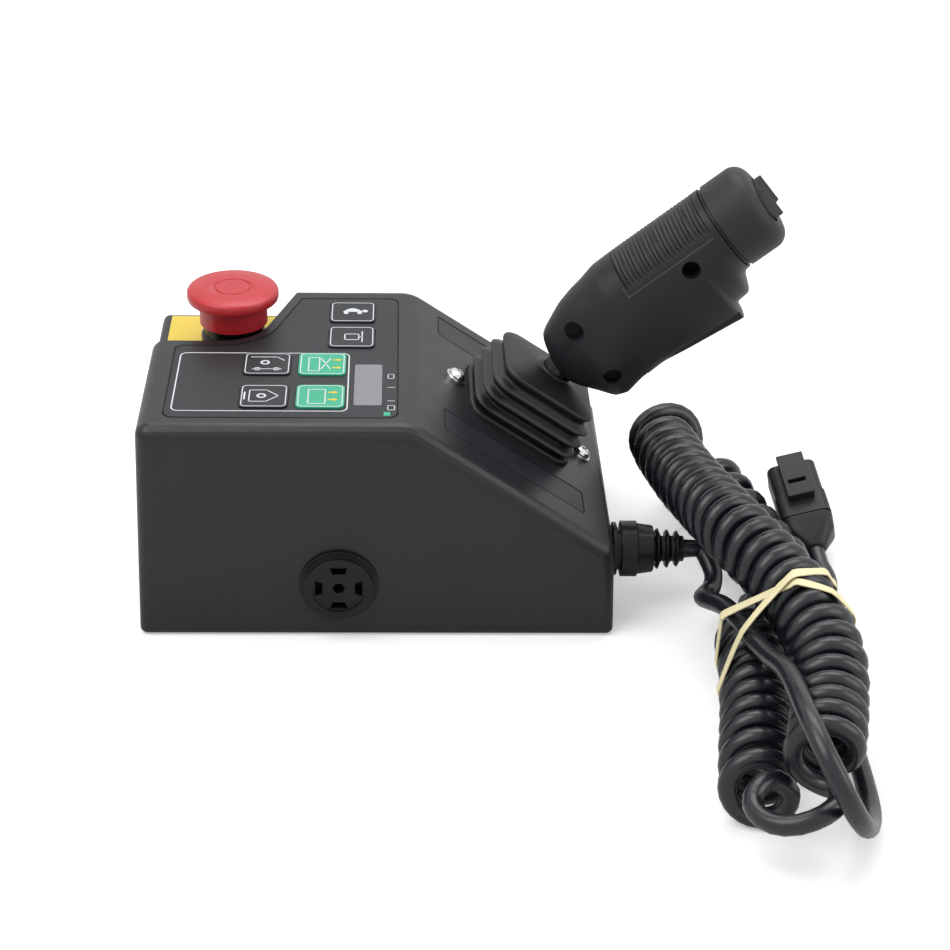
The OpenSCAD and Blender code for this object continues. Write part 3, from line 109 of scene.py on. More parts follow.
def make_light():
    world = bpy.data.worlds.new("studio")
    bpy.context.scene.world = world
    world.use_nodes = True
    tree = world.node_tree
    tree.nodes.clear()
    out = tree.nodes.new("ShaderNodeOutputWorld")
    soft = tree.nodes.new("ShaderNodeBackground")
    soft.inputs["Color"].default_value = (0.96, 0.98, 1.0, 1)
    soft.inputs["Strength"].default_value = 0.5
    white = tree.nodes.new("ShaderNodeBackground")
    white.inputs["Color"].default_value = (1, 1, 1, 1)
    white.inputs["Strength"].default_value = 1.0
    rays = tree.nodes.new("ShaderNodeLightPath")
    seen = tree.nodes.new("ShaderNodeMath")
    seen.operation = "MAXIMUM"
    clear = tree.nodes.new("ShaderNodeMath")
    clear.operation = "MAXIMUM"
    mix = tree.nodes.new("ShaderNodeMixShader")
    link = tree.links.new
    link(rays.outputs["Is Camera Ray"], seen.inputs[0])
    link(rays.outputs["Is Glossy Ray"], seen.inputs[1])
    link(seen.outputs[0], clear.inputs[0])
    link(rays.outputs["Is Transmission Ray"], clear.inputs[1])
    link(clear.outputs[0], mix.inputs[0])
    link(soft.outputs[0], mix.inputs[1])
    link(white.outputs[0], mix.inputs[2])
    link(mix.outputs[0], out.inputs["Surface"])
    area_light("key", (-0.55, -0.35, 1.15), (0.02, 0, 0.05), (0.9, 0.9), 9.0)
    area_light("top", (0.25, 0.55, 1.25), (0.03, -0.02, 0.08), (1.2, 0.7), 9.0)
    area_light("side", (1.1, -0.35, 0.65), (0.08, 0, 0.1), (0.6, 0.9), 4.0)


def make_floor():
    bm = bmesh.new()
    bmesh.ops.create_grid(bm, x_segments=8, y_segments=8, size=6.0)
    data = bpy.data.meshes.new("floor")
    bm.to_mesh(data)
    floor = bpy.data.objects.new("floor", data)
    bpy.context.scene.collection.objects.link(floor)
    floor.location = (0, 0, -0.0002)
    m = bpy.data.materials.new("floor_white")
    m.use_nodes = True
    tree = m.node_tree
    tree.nodes.clear()
    out = tree.nodes.new("ShaderNodeOutputMaterial")
    base = tree.nodes.new("ShaderNodeBsdfDiffuse")
    base.inputs["Color"].default_value = (0.82, 0.82, 0.82, 1)
    lift = tree.nodes.new("ShaderNodeEmission")
    lift.inputs["Color"].default_value = (1, 1, 1, 1)
    lift.inputs["Strength"].default_value = 0.36
    both = tree.nodes.new("ShaderNodeAddShader")
    rays = tree.nodes.new("ShaderNodeLightPath")
    mix = tree.nodes.new("ShaderNodeMixShader")
    link = tree.links.new
    link(base.outputs[0], both.inputs[0])
    link(lift.outputs[0], both.inputs[1])
    link(rays.outputs["Is Camera Ray"], mix.inputs[0])
    link(base.outputs[0], mix.inputs[1])
    link(both.outputs[0], mix.inputs[2])
    link(mix.outputs[0], out.inputs["Surface"])
    data.materials.append(m)


bpy.context.scene.view_settings.view_transform = "Standard"
make_camera()
make_light()
make_floor()


# Materials
BROAD_GRAIN = 22
ROUGH_VARY = 0.08


def finish_of(name, colour, rough, grain=0.4, depth=0.02, mottle=0.12, metallic=0.0, specular=0.5):
    """A shader whose colour, roughness and fine relief vary over the surface; grain is in millimetres."""
    m = bpy.data.materials.new(name)
    m.use_nodes = True
    tree = m.node_tree
    shader = tree.nodes["Principled BSDF"]
    shader.inputs["Metallic"].default_value = metallic
    shader.inputs["Specular IOR Level"].default_value = specular
    place = tree.nodes.new("ShaderNodeTexCoord")
    link = tree.links.new
    broad = tree.nodes.new("ShaderNodeTexNoise")
    broad.inputs["Scale"].default_value = 1.0 / (BROAD_GRAIN * MM)
    broad.inputs["Detail"].default_value = 5
    fine = tree.nodes.new("ShaderNodeTexNoise")
    fine.inputs["Scale"].default_value = 1.0 / (grain * MM)
    fine.inputs["Detail"].default_value = 3
    for n in (broad, fine):
        link(place.outputs["Object"], n.inputs["Vector"])
    blend = tree.nodes.new("ShaderNodeMath")
    blend.operation = "MULTIPLY_ADD"
    blend.inputs[1].default_value = 0.5
    link(broad.outputs["Fac"], blend.inputs[0])
    half = tree.nodes.new("ShaderNodeMath")
    half.operation = "MULTIPLY"
    half.inputs[1].default_value = 0.5
    link(fine.outputs["Fac"], half.inputs[0])
    link(half.outputs[0], blend.inputs[2])
    tint = tree.nodes.new("ShaderNodeValToRGB")
    low = [c * (1 - mottle) for c in colour]
    high = [min(1.0, c * (1 + mottle) + 0.002) for c in colour]
    tint.color_ramp.elements[0].position = 0.3
    tint.color_ramp.elements[0].color = (*low, 1)
    tint.color_ramp.elements[1].position = 0.7
    tint.color_ramp.elements[1].color = (*high, 1)
    link(blend.outputs[0], tint.inputs[0])
    link(tint.outputs[0], shader.inputs["Base Color"])
    dull = tree.nodes.new("ShaderNodeMapRange")
    dull.inputs["From Min"].default_value = 0.3
    dull.inputs["From Max"].default_value = 0.7
    dull.inputs["To Min"].default_value = max(0.03, rough - ROUGH_VARY)
    dull.inputs["To Max"].default_value = min(1.0, rough + ROUGH_VARY)
    link(blend.outputs[0], dull.inputs["Value"])
    link(dull.outputs[0], shader.inputs["Roughness"])
    bump = tree.nodes.new("ShaderNodeBump")
    bump.inputs["Strength"].default_value = 0.6
    bump.inputs["Distance"].default_value = depth * MM
    link(fine.outputs["Fac"], bump.inputs["Height"])
    link(bump.outputs[0], shader.inputs["Normal"])
    return m


SHELL = finish_of("moulded_shell", (0.0105, 0.0115, 0.0135), 0.36,
                  grain=0.55, depth=0.05, mottle=0.1, specular=0.36)
FILM = finish_of("overlay_film", (0.013, 0.0145, 0.018), 0.4,
                 grain=0.5, depth=0.02, mottle=0.08, specular=0.28)
DARK = finish_of("dark_plastic", (0.011, 0.0118, 0.0135), 0.42, grain=0.5, depth=0.03, specular=0.3)
GLOSS = finish_of("black_gloss", (0.005, 0.005, 0.006), 0.3,
                  grain=0.8, depth=0.01, mottle=0.08, specular=0.25)
RED = finish_of("stop_red", (0.47, 0.018, 0.024), 0.33, grain=0.7, depth=0.02, mottle=0.05, specular=0.45)
YELLOW = finish_of("plate_yellow", (0.72, 0.53, 0.05), 0.4, grain=0.6, depth=0.01, mottle=0.05)
GREEN = finish_of("key_green", (0.02, 0.36, 0.2), 0.4, grain=0.5, depth=0.02, mottle=0.06)
KEY = finish_of("key_black", (0.013, 0.0145, 0.018), 0.4, grain=0.5, depth=0.02, mottle=0.08, specular=0.28)
INK = finish_of("white_ink", (0.62, 0.64, 0.66), 0.45, grain=0.4, depth=0.01, mottle=0.05)
AMBER = finish_of("yellow_ink", (0.75, 0.5, 0.02), 0.45, grain=0.4, depth=0.01, mottle=0.05)
SCREEN = finish_of("display_grey", (0.2, 0.205, 0.215), 0.2, grain=0.8, depth=0.005, mottle=0.05)
BOOT = finish_of("boot_rubber", (0.009, 0.0095, 0.011), 0.42,
                 grain=0.35, depth=0.03, mottle=0.15, specular=0.28)
GRIP = finish_of("grip_plastic", (0.0125, 0.0135, 0.016), 0.42,
                 grain=0.3, depth=0.03, mottle=0.1, specular=0.28)
GRIP_LINE = finish_of("grip_panel_line", (0.055, 0.057, 0.062), 0.5, grain=0.3, depth=0.01)
# near black: used for the overlay's groove and the grip screws, and as painted shade in the frames round the
# slope labels
GROOVE_AND_SHADE = finish_of("dark_groove_and_painted_shade", (0.003, 0.003, 0.0035), 0.6, grain=0.4, depth=0.01, specular=0.15)
CAP = finish_of("cap_rubber", (0.016, 0.017, 0.019), 0.5, grain=0.3, depth=0.03, mottle=0.1, specular=0.3)
CORD = finish_of("cord_sheath", (0.007, 0.0082, 0.0115), 0.3,
                 grain=0.9, depth=0.02, mottle=0.1, specular=0.5)
BAND = finish_of("band_rubber", (0.80, 0.71, 0.43), 0.5, grain=0.5, depth=0.03, mottle=0.1)
STEEL = finish_of("zinc_steel", (0.55, 0.56, 0.58), 0.28, grain=0.25, depth=0.01, metallic=1.0)
BRIGHT = finish_of("bright_screw", (0.72, 0.72, 0.73), 0.16, grain=0.3, depth=0.01, metallic=1.0)
BLACKED = finish_of("blackened_steel", (0.05, 0.05, 0.053), 0.35, grain=0.3, depth=0.01, metallic=0.8)
SEAL = finish_of("seal_rubber", (0.015, 0.015, 0.015), 0.6, grain=0.3, depth=0.03)
BOARD = finish_of("green_board", (0.015, 0.13, 0.06), 0.3, grain=0.6, depth=0.01)
PALE = finish_of("pale_plastic", (0.5, 0.5, 0.47), 0.45, grain=0.5, depth=0.02)

MATERIAL_OF = {
    SHELL: ["housing_shell"],
    FILM: ["overlay_panel", "slope_labels"],
    DARK: ["base_plate", "stop_locknut", "stop_plunger", "alarm_body", "alarm_nut", "joystick_base",
           "cap_ring", "rocker_base", "trigger", "gland_locknut", "key_switches", "trigger_switch",
           "plug_boot", "plug_housing", "plug_latch"],
    GLOSS: ["stop_collar", "alarm_bezel", "gland_body", "gland_tail"],
    RED: ["stop_head"],
    YELLOW: ["stop_label_plate"],
    GREEN: ["key_lift_near", "key_lift_far"],
    KEY: ["key_drive_near", "key_drive_far", "key_speed", "key_horn"],
    SCREEN: ["display_window"],
    BOOT: ["joystick_boot"],
    GRIP: ["grip_near", "grip_far"],
    GROOVE_AND_SHADE: ["grip_screws"],
    CAP: ["thumb_cap", "thumb_rocker"],
    CORD: ["cord_lead_box", "cord_curls", "cord_lead_plug"],
    BAND: ["band_lower", "band_upper"],
    STEEL: ["base_screws", "board_screws", "stop_spring", "pivot_pin", "joystick_washers", "rocker_pin",
            "trigger_pin", "trigger_spring"],
    BRIGHT: ["joystick_screws"],
    BLACKED: ["lever_shaft"],
    SEAL: ["base_gasket"],
    BOARD: ["keypad_board", "sensor_board"],
    PALE: ["display_module", "stop_contact_block"],
}
for material, names in MATERIAL_OF.items():
    for name in names:
        data = NODES[name].data
        if not data.materials:
            data.materials.append(material)
        for i in range(len(data.materials)):
            data.materials[i] = material


# Mesh helpers
def add_mesh(name, verts, faces, material, body, slot, at=None, smooth=40.0):
    """A mesh piece in millimetres, placed by a matrix, smooth-shaded across edges flatter than an angle."""
    data = bpy.data.meshes.new(name)
    data.from_pydata([Vector(v) * MM for v in verts], [], faces)
    data.validate()
    if at is not None:
        data.transform(at)
    bm = bmesh.new()
    bm.from_mesh(data)
    bmesh.ops.recalc_face_normals(bm, faces=bm.faces)
    bm.to_mesh(data)
    bm.free()
    piece = bpy.data.objects.new(name, data)
    bpy.context.scene.collection.objects.link(piece)
    soften(data, smooth)
    data.materials.append(material)
    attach(piece, body)
    return piece


def soften(data, angle):
    data.polygons.foreach_set("use_smooth", [True] * len(data.polygons))
    data.set_sharp_from_angle(angle=math.radians(angle))
    data.update()


def ring_faces(rings, n, closed=False, caps=True):
    last = rings if closed else rings - 1
    faces = [(j * n + i, j * n + (i + 1) % n, ((j + 1) % rings) * n + (i + 1) % n, ((j + 1) % rings) * n + i)
             for j in range(last) for i in range(n)]
    if caps and not closed:
        faces.append(tuple(range(n - 1, -1, -1)))
        faces.append(tuple(range((rings - 1) * n, rings * n)))
    return faces


def copy_of(node, name, material):
    """A piece with a copy of a solid's mesh, in one material."""
    data = NODES[node].data.copy()
    data.name = name
    data.materials.clear()
    data.materials.append(material)
    piece = bpy.data.objects.new(name, data)
    bpy.context.scene.collection.objects.link(piece)
    return piece


def round_edges(piece, width, angle):
    """Narrow bevels along the edges sharper than an angle."""
    edge = piece.modifiers.new("edge", "BEVEL")
    edge.width = width * MM
    edge.segments = 2
    edge.limit_method = "ANGLE"
    edge.angle_limit = math.radians(angle)
    return edge


def refined(node, name, material, body, bevel, angle=30.0):
    """A copy of a solid with softened edges, shown in its place."""
    piece = copy_of(node, name, material)
    data = piece.data
    bm = bmesh.new()
    bm.from_mesh(data)
    bmesh.ops.remove_doubles(bm, verts=bm.verts, dist=1e-6)
    bmesh.ops.dissolve_limit(bm, angle_limit=math.radians(0.5), verts=bm.verts, edges=bm.edges)
    bm.to_mesh(data)
    bm.free()
    soften(data, angle)
    round_edges(piece, bevel, angle).harden_normals = True
    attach(piece, body)
    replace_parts(piece, node)


def sprung(node, name, place, axis):
    """A copy of a spring, shown in its solid's place."""
    piece = copy_of(node, name, STEEL)
    along = [place.inverted() @ v.co for v in piece.data.vertices]
    low, high = ([pick(p[k] for p in along) for k in range(3)] for pick in (min, max))
    for edge in (low, high):
        mid = [(low[k] + high[k]) / 2 for k in range(3)]
        mid[axis] = edge[axis]
    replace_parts(piece, node)
    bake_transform(piece)


# Cord: each route row is turn, x, y, z, share of the radius, and the angle of the first side
TURNS = 44
CURL_ROUTE = np.array([
    (0, 176, -57, 15.5, 0, 48), (0.25, 175.5, -49, 15.5, 0.3, 48), (1, 173, -36, 15.5, 1, 48),
    (3.25, 164, -7, 15.5, 1, 48), (5, 157, 18, 15.5, 1, 48), (6.25, 152, 36, 15.5, 1, 48),
    (6.5, 149, 45, 17, 1, 48), (6.75, 141.5, 50, 26, 1, 48), (7, 133, 46, 35.5, 1, 48),
    (7.25, 129, 37, 37.5, 1, 48), (8.5, 130, 24, 38.5, 1, 50), (12.25, 137, -13, 42, 1, 64),
    (17.5, 150, -62, 47.5, 1, 90), (22, 167, -104, 45.5, 1, 105), (26, 175, -144, 42, 1, 120),
    (29, 171, -176, 40, 1, 135), (32.25, 164, -207, 39.5, 1, 140), (32.5, 161, -215, 37, 1, 140),
    (32.75, 153.5, -219, 27.5, 1, 140), (33, 147, -213, 18, 1, 140), (33.25, 143.5, -203, 15.5, 1, 140),
    (35.25, 146, -176, 15.5, 1, 140), (38, 150, -147, 16.2, 1, 140), (41, 153, -116, 16.4, 1, 140),
    (43, 154, -96, 15.5, 1, 140), (43.75, 154.5, -83, 15.5, 0.3, 140), (44, 155, -75, 15.5, 0, 140)])
LEAD_BOX = [(141, -44.5, 24.5), (143.5, -51, 20), (142, -58.5, 17.5), (138.5, -65, 18.5),
            (136.5, -73, 22), (138, -83, 27), (142, -95, 32), (146.5, -112, 35.5), (149.8, -131, 38.5),
            (152.3, -148, 43.5), (155, -167, 50.5), (155.7, -184, 54.6), (156, -200, 57.4),
            (157.5, -214, 57.6), (161.5, -226.5, 52.5), (167.5, -232.5, 42), (174, -230.5, 29.5),
            (180, -220.5, 17.5), (184.5, -207, 9), (187.5, -192, 4.8), (188.2, -174, 4.2),
            (187.8, -150, 4.2), (186.5, -127, 4.2), (184.5, -104, 6), (180, -84, 11.5)]
LEAD_PLUG = [(158, -58.5, 10), (165, -54, 5.4), (176, -53, 4.2), (186.5, -51, 4.2),
             (194, -44.5, 4.6), (197, -35, 5.8)]
PLUG_REAR = np.array((194.0, -16.0, 10.0))
PLUG_TURN = [math.radians(a) for a in (-14, -19, 98)]
ON_PLUG = (Matrix.Translation(Vector(PLUG_REAR) * MM) @ turn(PLUG_TURN[2], "Z") @ turn(PLUG_TURN[1], "Y")
           @ turn(PLUG_TURN[0], "X"))
PER_TURN = 24


def unit(v):
    return v / np.linalg.norm(v)


def route(t):
    k = CURL_ROUTE[:, 0]
    p = CURL_ROUTE[:, 1:]
    i = min(max(int(np.searchsorted(k, t, side="right")) - 1, 0), len(k) - 2)
    m = [(p[min(j + 1, len(k) - 1)] - p[max(j - 1, 0)]) / (k[min(j + 1, len(k) - 1)] - k[max(j - 1, 0)])
         for j in (i, i + 1)]
    h = k[i + 1] - k[i]
    s = (t - k[i]) / h
    return ((2 * s ** 3 - 3 * s * s + 1) * p[i] + (s ** 3 - 2 * s * s + s) * h * m[0]
            + (3 * s * s - 2 * s ** 3) * p[i + 1] + (s ** 3 - s * s) * h * m[1])


def curl_axis(t):
    return unit(route(min(t + 0.001, TURNS))[:3] - route(max(t - 0.001, 0.0))[:3])


def curl_point(t):
    c, d = route(t), curl_axis(t)
    a = math.radians(c[4])
    ref = np.array((math.cos(a), 0, math.sin(a)))
    e1 = unit(ref - ref.dot(d) * d)
    e2 = np.cross(d, e1)
    r = CURL_R * min(max(c[3], 0.0), 1.0)
    return c[:3] + r * (math.cos(2 * math.pi * t) * e1 + math.sin(2 * math.pi * t) * e2)


def bend(a, b, c, d, t):
    """The place between b and c on a smooth curve through four points."""
    return 0.5 * (2 * b + (c - a) * t + (2 * a - 5 * b + 4 * c - d) * t * t
                  + (3 * b - a - 3 * c + d) * t ** 3)


def smooth_through(points, n):
    p = [np.array(q, float) for q in points]
    p = [2 * p[0] - p[1], *p, 2 * p[-1] - p[-2]]
    out = []
    for i in range(1, len(p) - 2):
        out += [bend(*p[i - 1:i + 3], k / n) for k in range(n)]
    return out + [p[-2]]


def make_cord():
    gland = np.array((GLAND_END, GLAND_Y, GLAND_Z))
    start, end = curl_point(0.0), curl_point(TURNS)
    d0, d1 = unit(curl_point(1 / 8) - start), unit(end - curl_point(TURNS - 1 / 8))
    ahead = np.array(ON_PLUG.to_3x3() @ Vector((1, 0, 0)))
    lead_a = smooth_through([gland + (CORD_D, 0, 0), *LEAD_BOX, start - CORD_D * d0], 5)
    lead_b = smooth_through([end + CORD_D * d1, *LEAD_PLUG, PLUG_REAR - CORD_D * ahead], 5)
    curls = [curl_point(k / PER_TURN) for k in range(TURNS * PER_TURN + 1)]
    points = [gland, *lead_a, *curls, *lead_b, PLUG_REAR]
    length = sum(float(np.linalg.norm(b - a)) for a, b in zip(points, points[1:]))
    data = bpy.data.curves.new("curly_cord", "CURVE")
    data.dimensions = "3D"
    data.bevel_depth = CORD_D / 2 * MM
    data.bevel_resolution = 4
    data.use_fill_caps = True
    line = data.splines.new("POLY")
    line.points.add(len(points) - 1)
    for q, p in zip(line.points, points):
        q.co = (*(float(c) * MM for c in p), 1.0)
    piece = bpy.data.objects.new("curly_cord", data)
    bpy.context.scene.collection.objects.link(piece)
    data.materials.append(CORD)
    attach(piece, "box")
    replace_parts(piece, "cord_lead_box", "cord_curls", "cord_lead_plug")
    return piece, [float(c) * MM for c in gland], length * MM


CORD_PIECE, CORD_EXIT, CORD_LENGTH = make_cord()

# Rubber bands
LOWER_RING = [(139, 34.8), (138.4, 14.9), (141.2, 9), (143.5, 4.7), (147.2, 3.5), (154.3, 1.2),
              (164.6, 6.7), (187.6, 37.3), (187.8, 45.4), (187.3, 49.4), (178.9, 57.7), (166.3, 59.3),
              (162.2, 56.7), (140, 38.3)]
UPPER_RING = [(144.9, 40), (136.9, 15.6), (138.6, 11.5), (141.7, 5.2), (145.8, 3.5), (153.3, 1.1),
              (158, 1.3), (165.6, 4.9), (182.1, 37.4), (184, 48.9), (181.8, 52.3), (178.3, 57.4),
              (165.6, 60.7), (159.5, 56.6)]
BAND_Y, BAND_X, BAND_W, BAND_T = -118.0, 161.0, 4.8, 0.8
BAND_BEND = 0.55


def make_band(name, ring, tilt, node):
    section = [(-1, 0.25), (-0.8, 0), (0, -0.02), (0.8, 0), (1, 0.25), (1, 0.75), (0.8, 1), (0, 1),
               (-0.8, 1), (-1, 0.75)]
    pts = [np.array((q[0], BAND_Y + tilt * (q[0] - BAND_X), q[1])) for q in ring]
    n = len(pts)
    path = []
    for i in range(n):
        a, b, c, d = (pts[(i + j) % n] for j in (-1, 0, 1, 2))
        for k in range(6):
            t = k / 6
            path.append(BAND_BEND * bend(a, b, c, d, t) + (1 - BAND_BEND) * (b + (c - b) * t))
    m = len(path)
    verts = []
    for i in range(m):
        t = unit(path[(i + 1) % m] - path[(i - 1) % m])
        w = unit(np.array((0, 1.0, 0)) - t[1] * t)
        o = np.cross(w, t)
        wave = 0.92 + 0.08 * math.sin(i * 0.9)
        verts += [tuple(path[i] + x * BAND_W / 2 * wave * w + y * BAND_T * o) for x, y in section]
    faces = ring_faces(m, len(section), closed=True)
    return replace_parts(add_mesh(name, verts, faces, BAND, "box", "band_rubber", smooth=60), node)


BANDS = [make_band("band_a", LOWER_RING, -0.35, "band_lower"),
         make_band("band_b", UPPER_RING, 0.5, "band_upper")]


# Print on the deck
DECK_Z = BOX_H + 0.02
KEY_TOP = 98.62
INK_T = 0.05


def slabs(outlines, z):
    """Thin level slabs, one for each closed list of (x, y)."""
    verts, faces = [], []
    for outline in outlines:
        n, first = len(outline), len(verts)
        verts += [(x, y, z) for x, y in outline] + [(x, y, z + INK_T) for x, y in outline]
        made = [tuple(range(n - 1, -1, -1)), tuple(range(n, 2 * n))]
        made += [(i, (i + 1) % n, n + (i + 1) % n, n + i) for i in range(n)]
        faces += [tuple(first + i for i in face) for face in made]
    return verts, faces


def printed(name, outlines, z, material, body, at=None):
    """One piece made of several outlines laid on the same level face, used for print, grooves and painted
    shade lines.
    """
    return add_mesh(name, *slabs(outlines, z), material, body, None, at, smooth=20)


def line(points, width, closed=False):
    """Strips of a given width along a polyline, one quad for each stretch."""
    out = []
    last = len(points) if closed else len(points) - 1
    for i in range(last):
        a, b = np.array(points[i], float), np.array(points[(i + 1) % len(points)], float)
        t = unit(b - a)
        n = np.array((-t[1], t[0])) * width / 2
        a, b = a - t * width / 2.2, b + t * width / 2.2
        out.append([tuple(a + n), tuple(a - n), tuple(b - n), tuple(b + n)])
    return out


def round_box(cx, cy, w, h, r, per=6):
    pts = []
    for c in range(4):
        ox, oy = cx + (w / 2 - r) * (1 if c in (0, 3) else -1), cy + (h / 2 - r) * (1 if c < 2 else -1)
        pts += [(ox + r * math.cos(math.radians(90 * (c + k / per))),
                 oy + r * math.sin(math.radians(90 * (c + k / per)))) for k in range(per + 1)]
    return pts


def band_between(outer, inner):
    """Quads between two outlines with the same number of points."""
    n = len(outer)
    return [[outer[i], outer[(i + 1) % n], inner[(i + 1) % n], inner[i]] for i in range(n)]


def framed(cx, cy, w, h, r, t):
    return band_between(round_box(cx, cy, w, h, r), round_box(cx, cy, w - 2 * t, h - 2 * t, r - t))


def disc(cx, cy, r, n=20):
    return [[(cx + r * math.cos(2 * math.pi * k / n), cy + r * math.sin(2 * math.pi * k / n))
             for k in range(n)]]


def ring(cx, cy, r, t, n=24):
    outer, inner = disc(cx, cy, r, n)[0], disc(cx, cy, r - t, n)[0]
    return band_between(outer, inner)


def arrow(cx, cy, dx, size):
    """A plain arrow along X: a stem and a head."""
    s = size * dx
    half = size * 0.2
    return [[(cx - s, cy - half), (cx, cy - half), (cx, cy + half), (cx - s, cy + half)],
            [(cx, cy - size * 0.55), (cx + s * 0.8, cy), (cx, cy + size * 0.55)]]


KEY_AT = {"key_drive_near": (-47.0, -39.0), "key_drive_far": (-47.0, -9.7),
          "key_lift_near": (-23.7, -39.0), "key_lift_far": (-23.7, -9.7),
          "key_horn": (-11.8, 16.4), "key_speed": (-11.8, 41.2)}


def make_print():
    printed("deck_frame", framed(-48.4, -25.0, 72.4, 53.0, 3.2, 0.55), DECK_Z, INK, "box")
    for node, (x, y) in KEY_AT.items():
        body = node + "_body"
        printed(node + "_edge", framed(x, y, 18.6, 18.6, 2.2, 0.42), KEY_TOP, INK, body)
    x, y = KEY_AT["key_drive_near"]
    house = [(x - 6, y - 5), (x - 6, y + 5), (x + 1, y + 5), (x + 6, y), (x + 1, y - 5)]
    printed("mark_drive_near", line(house, 0.5, True) + ring(x - 1, y, 2.0, 0.9)
            + line([(x - 8, y - 3), (x - 8, y + 3)], 0.7), KEY_TOP, INK, "key_drive_near_body")
    x, y = KEY_AT["key_drive_far"]
    printed("mark_drive_far", line([(x - 7, y + 6), (x + 4, y + 6), (x + 7, y + 3)], 0.5)
            + ring(x - 1, y + 1, 2.0, 0.9) + line([(x - 6, y - 5), (x + 6, y - 5)], 0.5)
            + ring(x - 4, y - 5, 1.4, 0.5)
            + ring(x + 4, y - 5, 1.4, 0.5), KEY_TOP, INK, "key_drive_far_body")
    x, y = KEY_AT["key_lift_near"]
    printed("mark_lift_near", framed(x - 1.5, y - 0.5, 7.5, 13, 0.8, 0.5), KEY_TOP, INK,
            "key_lift_near_body")
    printed("mark_lift_near_up", arrow(x + 5.4, y + 3.2, 1, 2.4) + arrow(x + 5.4, y - 3.2, 1, 2.4), KEY_TOP,
            AMBER, "key_lift_near_body")
    x, y = KEY_AT["key_lift_far"]
    printed("mark_lift_far", framed(x - 3.5, y - 0.5, 5.0, 13, 0.8, 0.5)
            + line([(x - 0.6, y - 5), (x + 3.4, y + 5)], 0.5)
            + line([(x - 0.6, y + 5), (x + 3.4, y - 5)], 0.5),
            KEY_TOP, INK, "key_lift_far_body")
    printed("mark_lift_far_up", arrow(x + 6.4, y + 3.6, 1, 2.2) + arrow(x + 6.4, y - 3.6, 1, 2.2), KEY_TOP,
            AMBER, "key_lift_far_body")
    x, y = KEY_AT["key_horn"]
    horn = [(x - 3, y - 3), (x - 3, y + 2.5), (x + 3, y + 2.5), (x + 3, y - 3)]
    printed("mark_horn", line(horn, 0.55, True)
            + line([(x + 4.5, y - 5), (x + 4.5, y + 5)], 0.55) + line([(x + 3, y), (x + 4.5, y)], 0.55),
            KEY_TOP, INK, "key_horn_body")
    x, y = KEY_AT["key_speed"]
    hump = [(x - 4.5 + 9 * k / 14, y + 3.6 * math.sin(math.pi * k / 14)) for k in range(15)]
    printed("mark_speed", [hump] + disc(x + 5.4, y + 0.8, 1.3) + disc(x - 3, y - 1.1, 1.1)
            + disc(x + 3, y - 1.1, 1.1), KEY_TOP, INK, "key_speed_body")
    by_display = (line([(4.2, -50), (4.2, -46), (7.0, -46), (7.0, -50)], 0.35, True)
                  + line([(4.2, -42), (7.0, -42)], 0.35) + line([(4.2, -30), (7.0, -30)], 0.35)
                  + line([(4.2, -22), (4.2, -18), (6.6, -18), (6.6, -22)], 0.35, True))
    printed("deck_marks", by_display, DECK_Z, INK, "box")
    lamp = [(2.6, -55.0), (2.6, -51.8), (5.2, -51.8), (5.2, -55.0)]
    printed("deck_mark_green", [lamp], DECK_Z, GREEN, "box")


make_print()


NOTCH_X, NOTCH_Y, NOTCH_R, NOTCH_END, NOTCH_LEAN = -68, 33, 24.5, 56.0, 72


def notch_edge():
    """The overlay's line beside the stop button: an arc and the leaning edge after it."""
    arc = [(NOTCH_X + NOTCH_R * math.cos(math.radians(a)), NOTCH_Y + NOTCH_R * math.sin(math.radians(a)))
           for a in range(-90, NOTCH_LEAN - 89, 6)]
    lx, ly = arc[-1]
    return arc + [(lx + (NOTCH_END - ly) / math.tan(math.radians(NOTCH_LEAN)), NOTCH_END)]


# the overlay's groove, and painted shade lines round the two slope labels
def make_grooves_and_shade_lines():
    x0, x1, y0, y1, r = -87.3, 8.3, -56.8, 56.3, 4.3
    pts = []
    for cx, cy, a0 in ((x0 + r, y0 + r, 180), (x1 - r, y0 + r, 270), (x1 - r, y1 - r, 0)):
        pts += [(cx + r * math.cos(math.radians(a0 + 15 * k)), cy + r * math.sin(math.radians(a0 + 15 * k)))
                for k in range(7)]
    edge = notch_edge()
    pts += list(reversed(edge))
    pts.append((x0 + 2.5, edge[0][1]))
    pts.append((x0, edge[0][1] - 3.0))
    printed("overlay_groove", line(pts, 0.6, True), DECK_Z + 0.01, GROOVE_AND_SHADE, "box")
    # painted shade: the dark frames round the slope labels stand for the shade along the labels' raised
    # edges, not for grooves
    for name, s, y in (("near_label_shade_line", 52.0, -40.2), ("far_label_shade_line", 50.0, 45.8)):
        printed(name, framed(s, y, 72.2, 18.6, 1.6, 0.5), 0.0, GROOVE_AND_SHADE, "box", ON_SLOPE)


make_grooves_and_shade_lines()


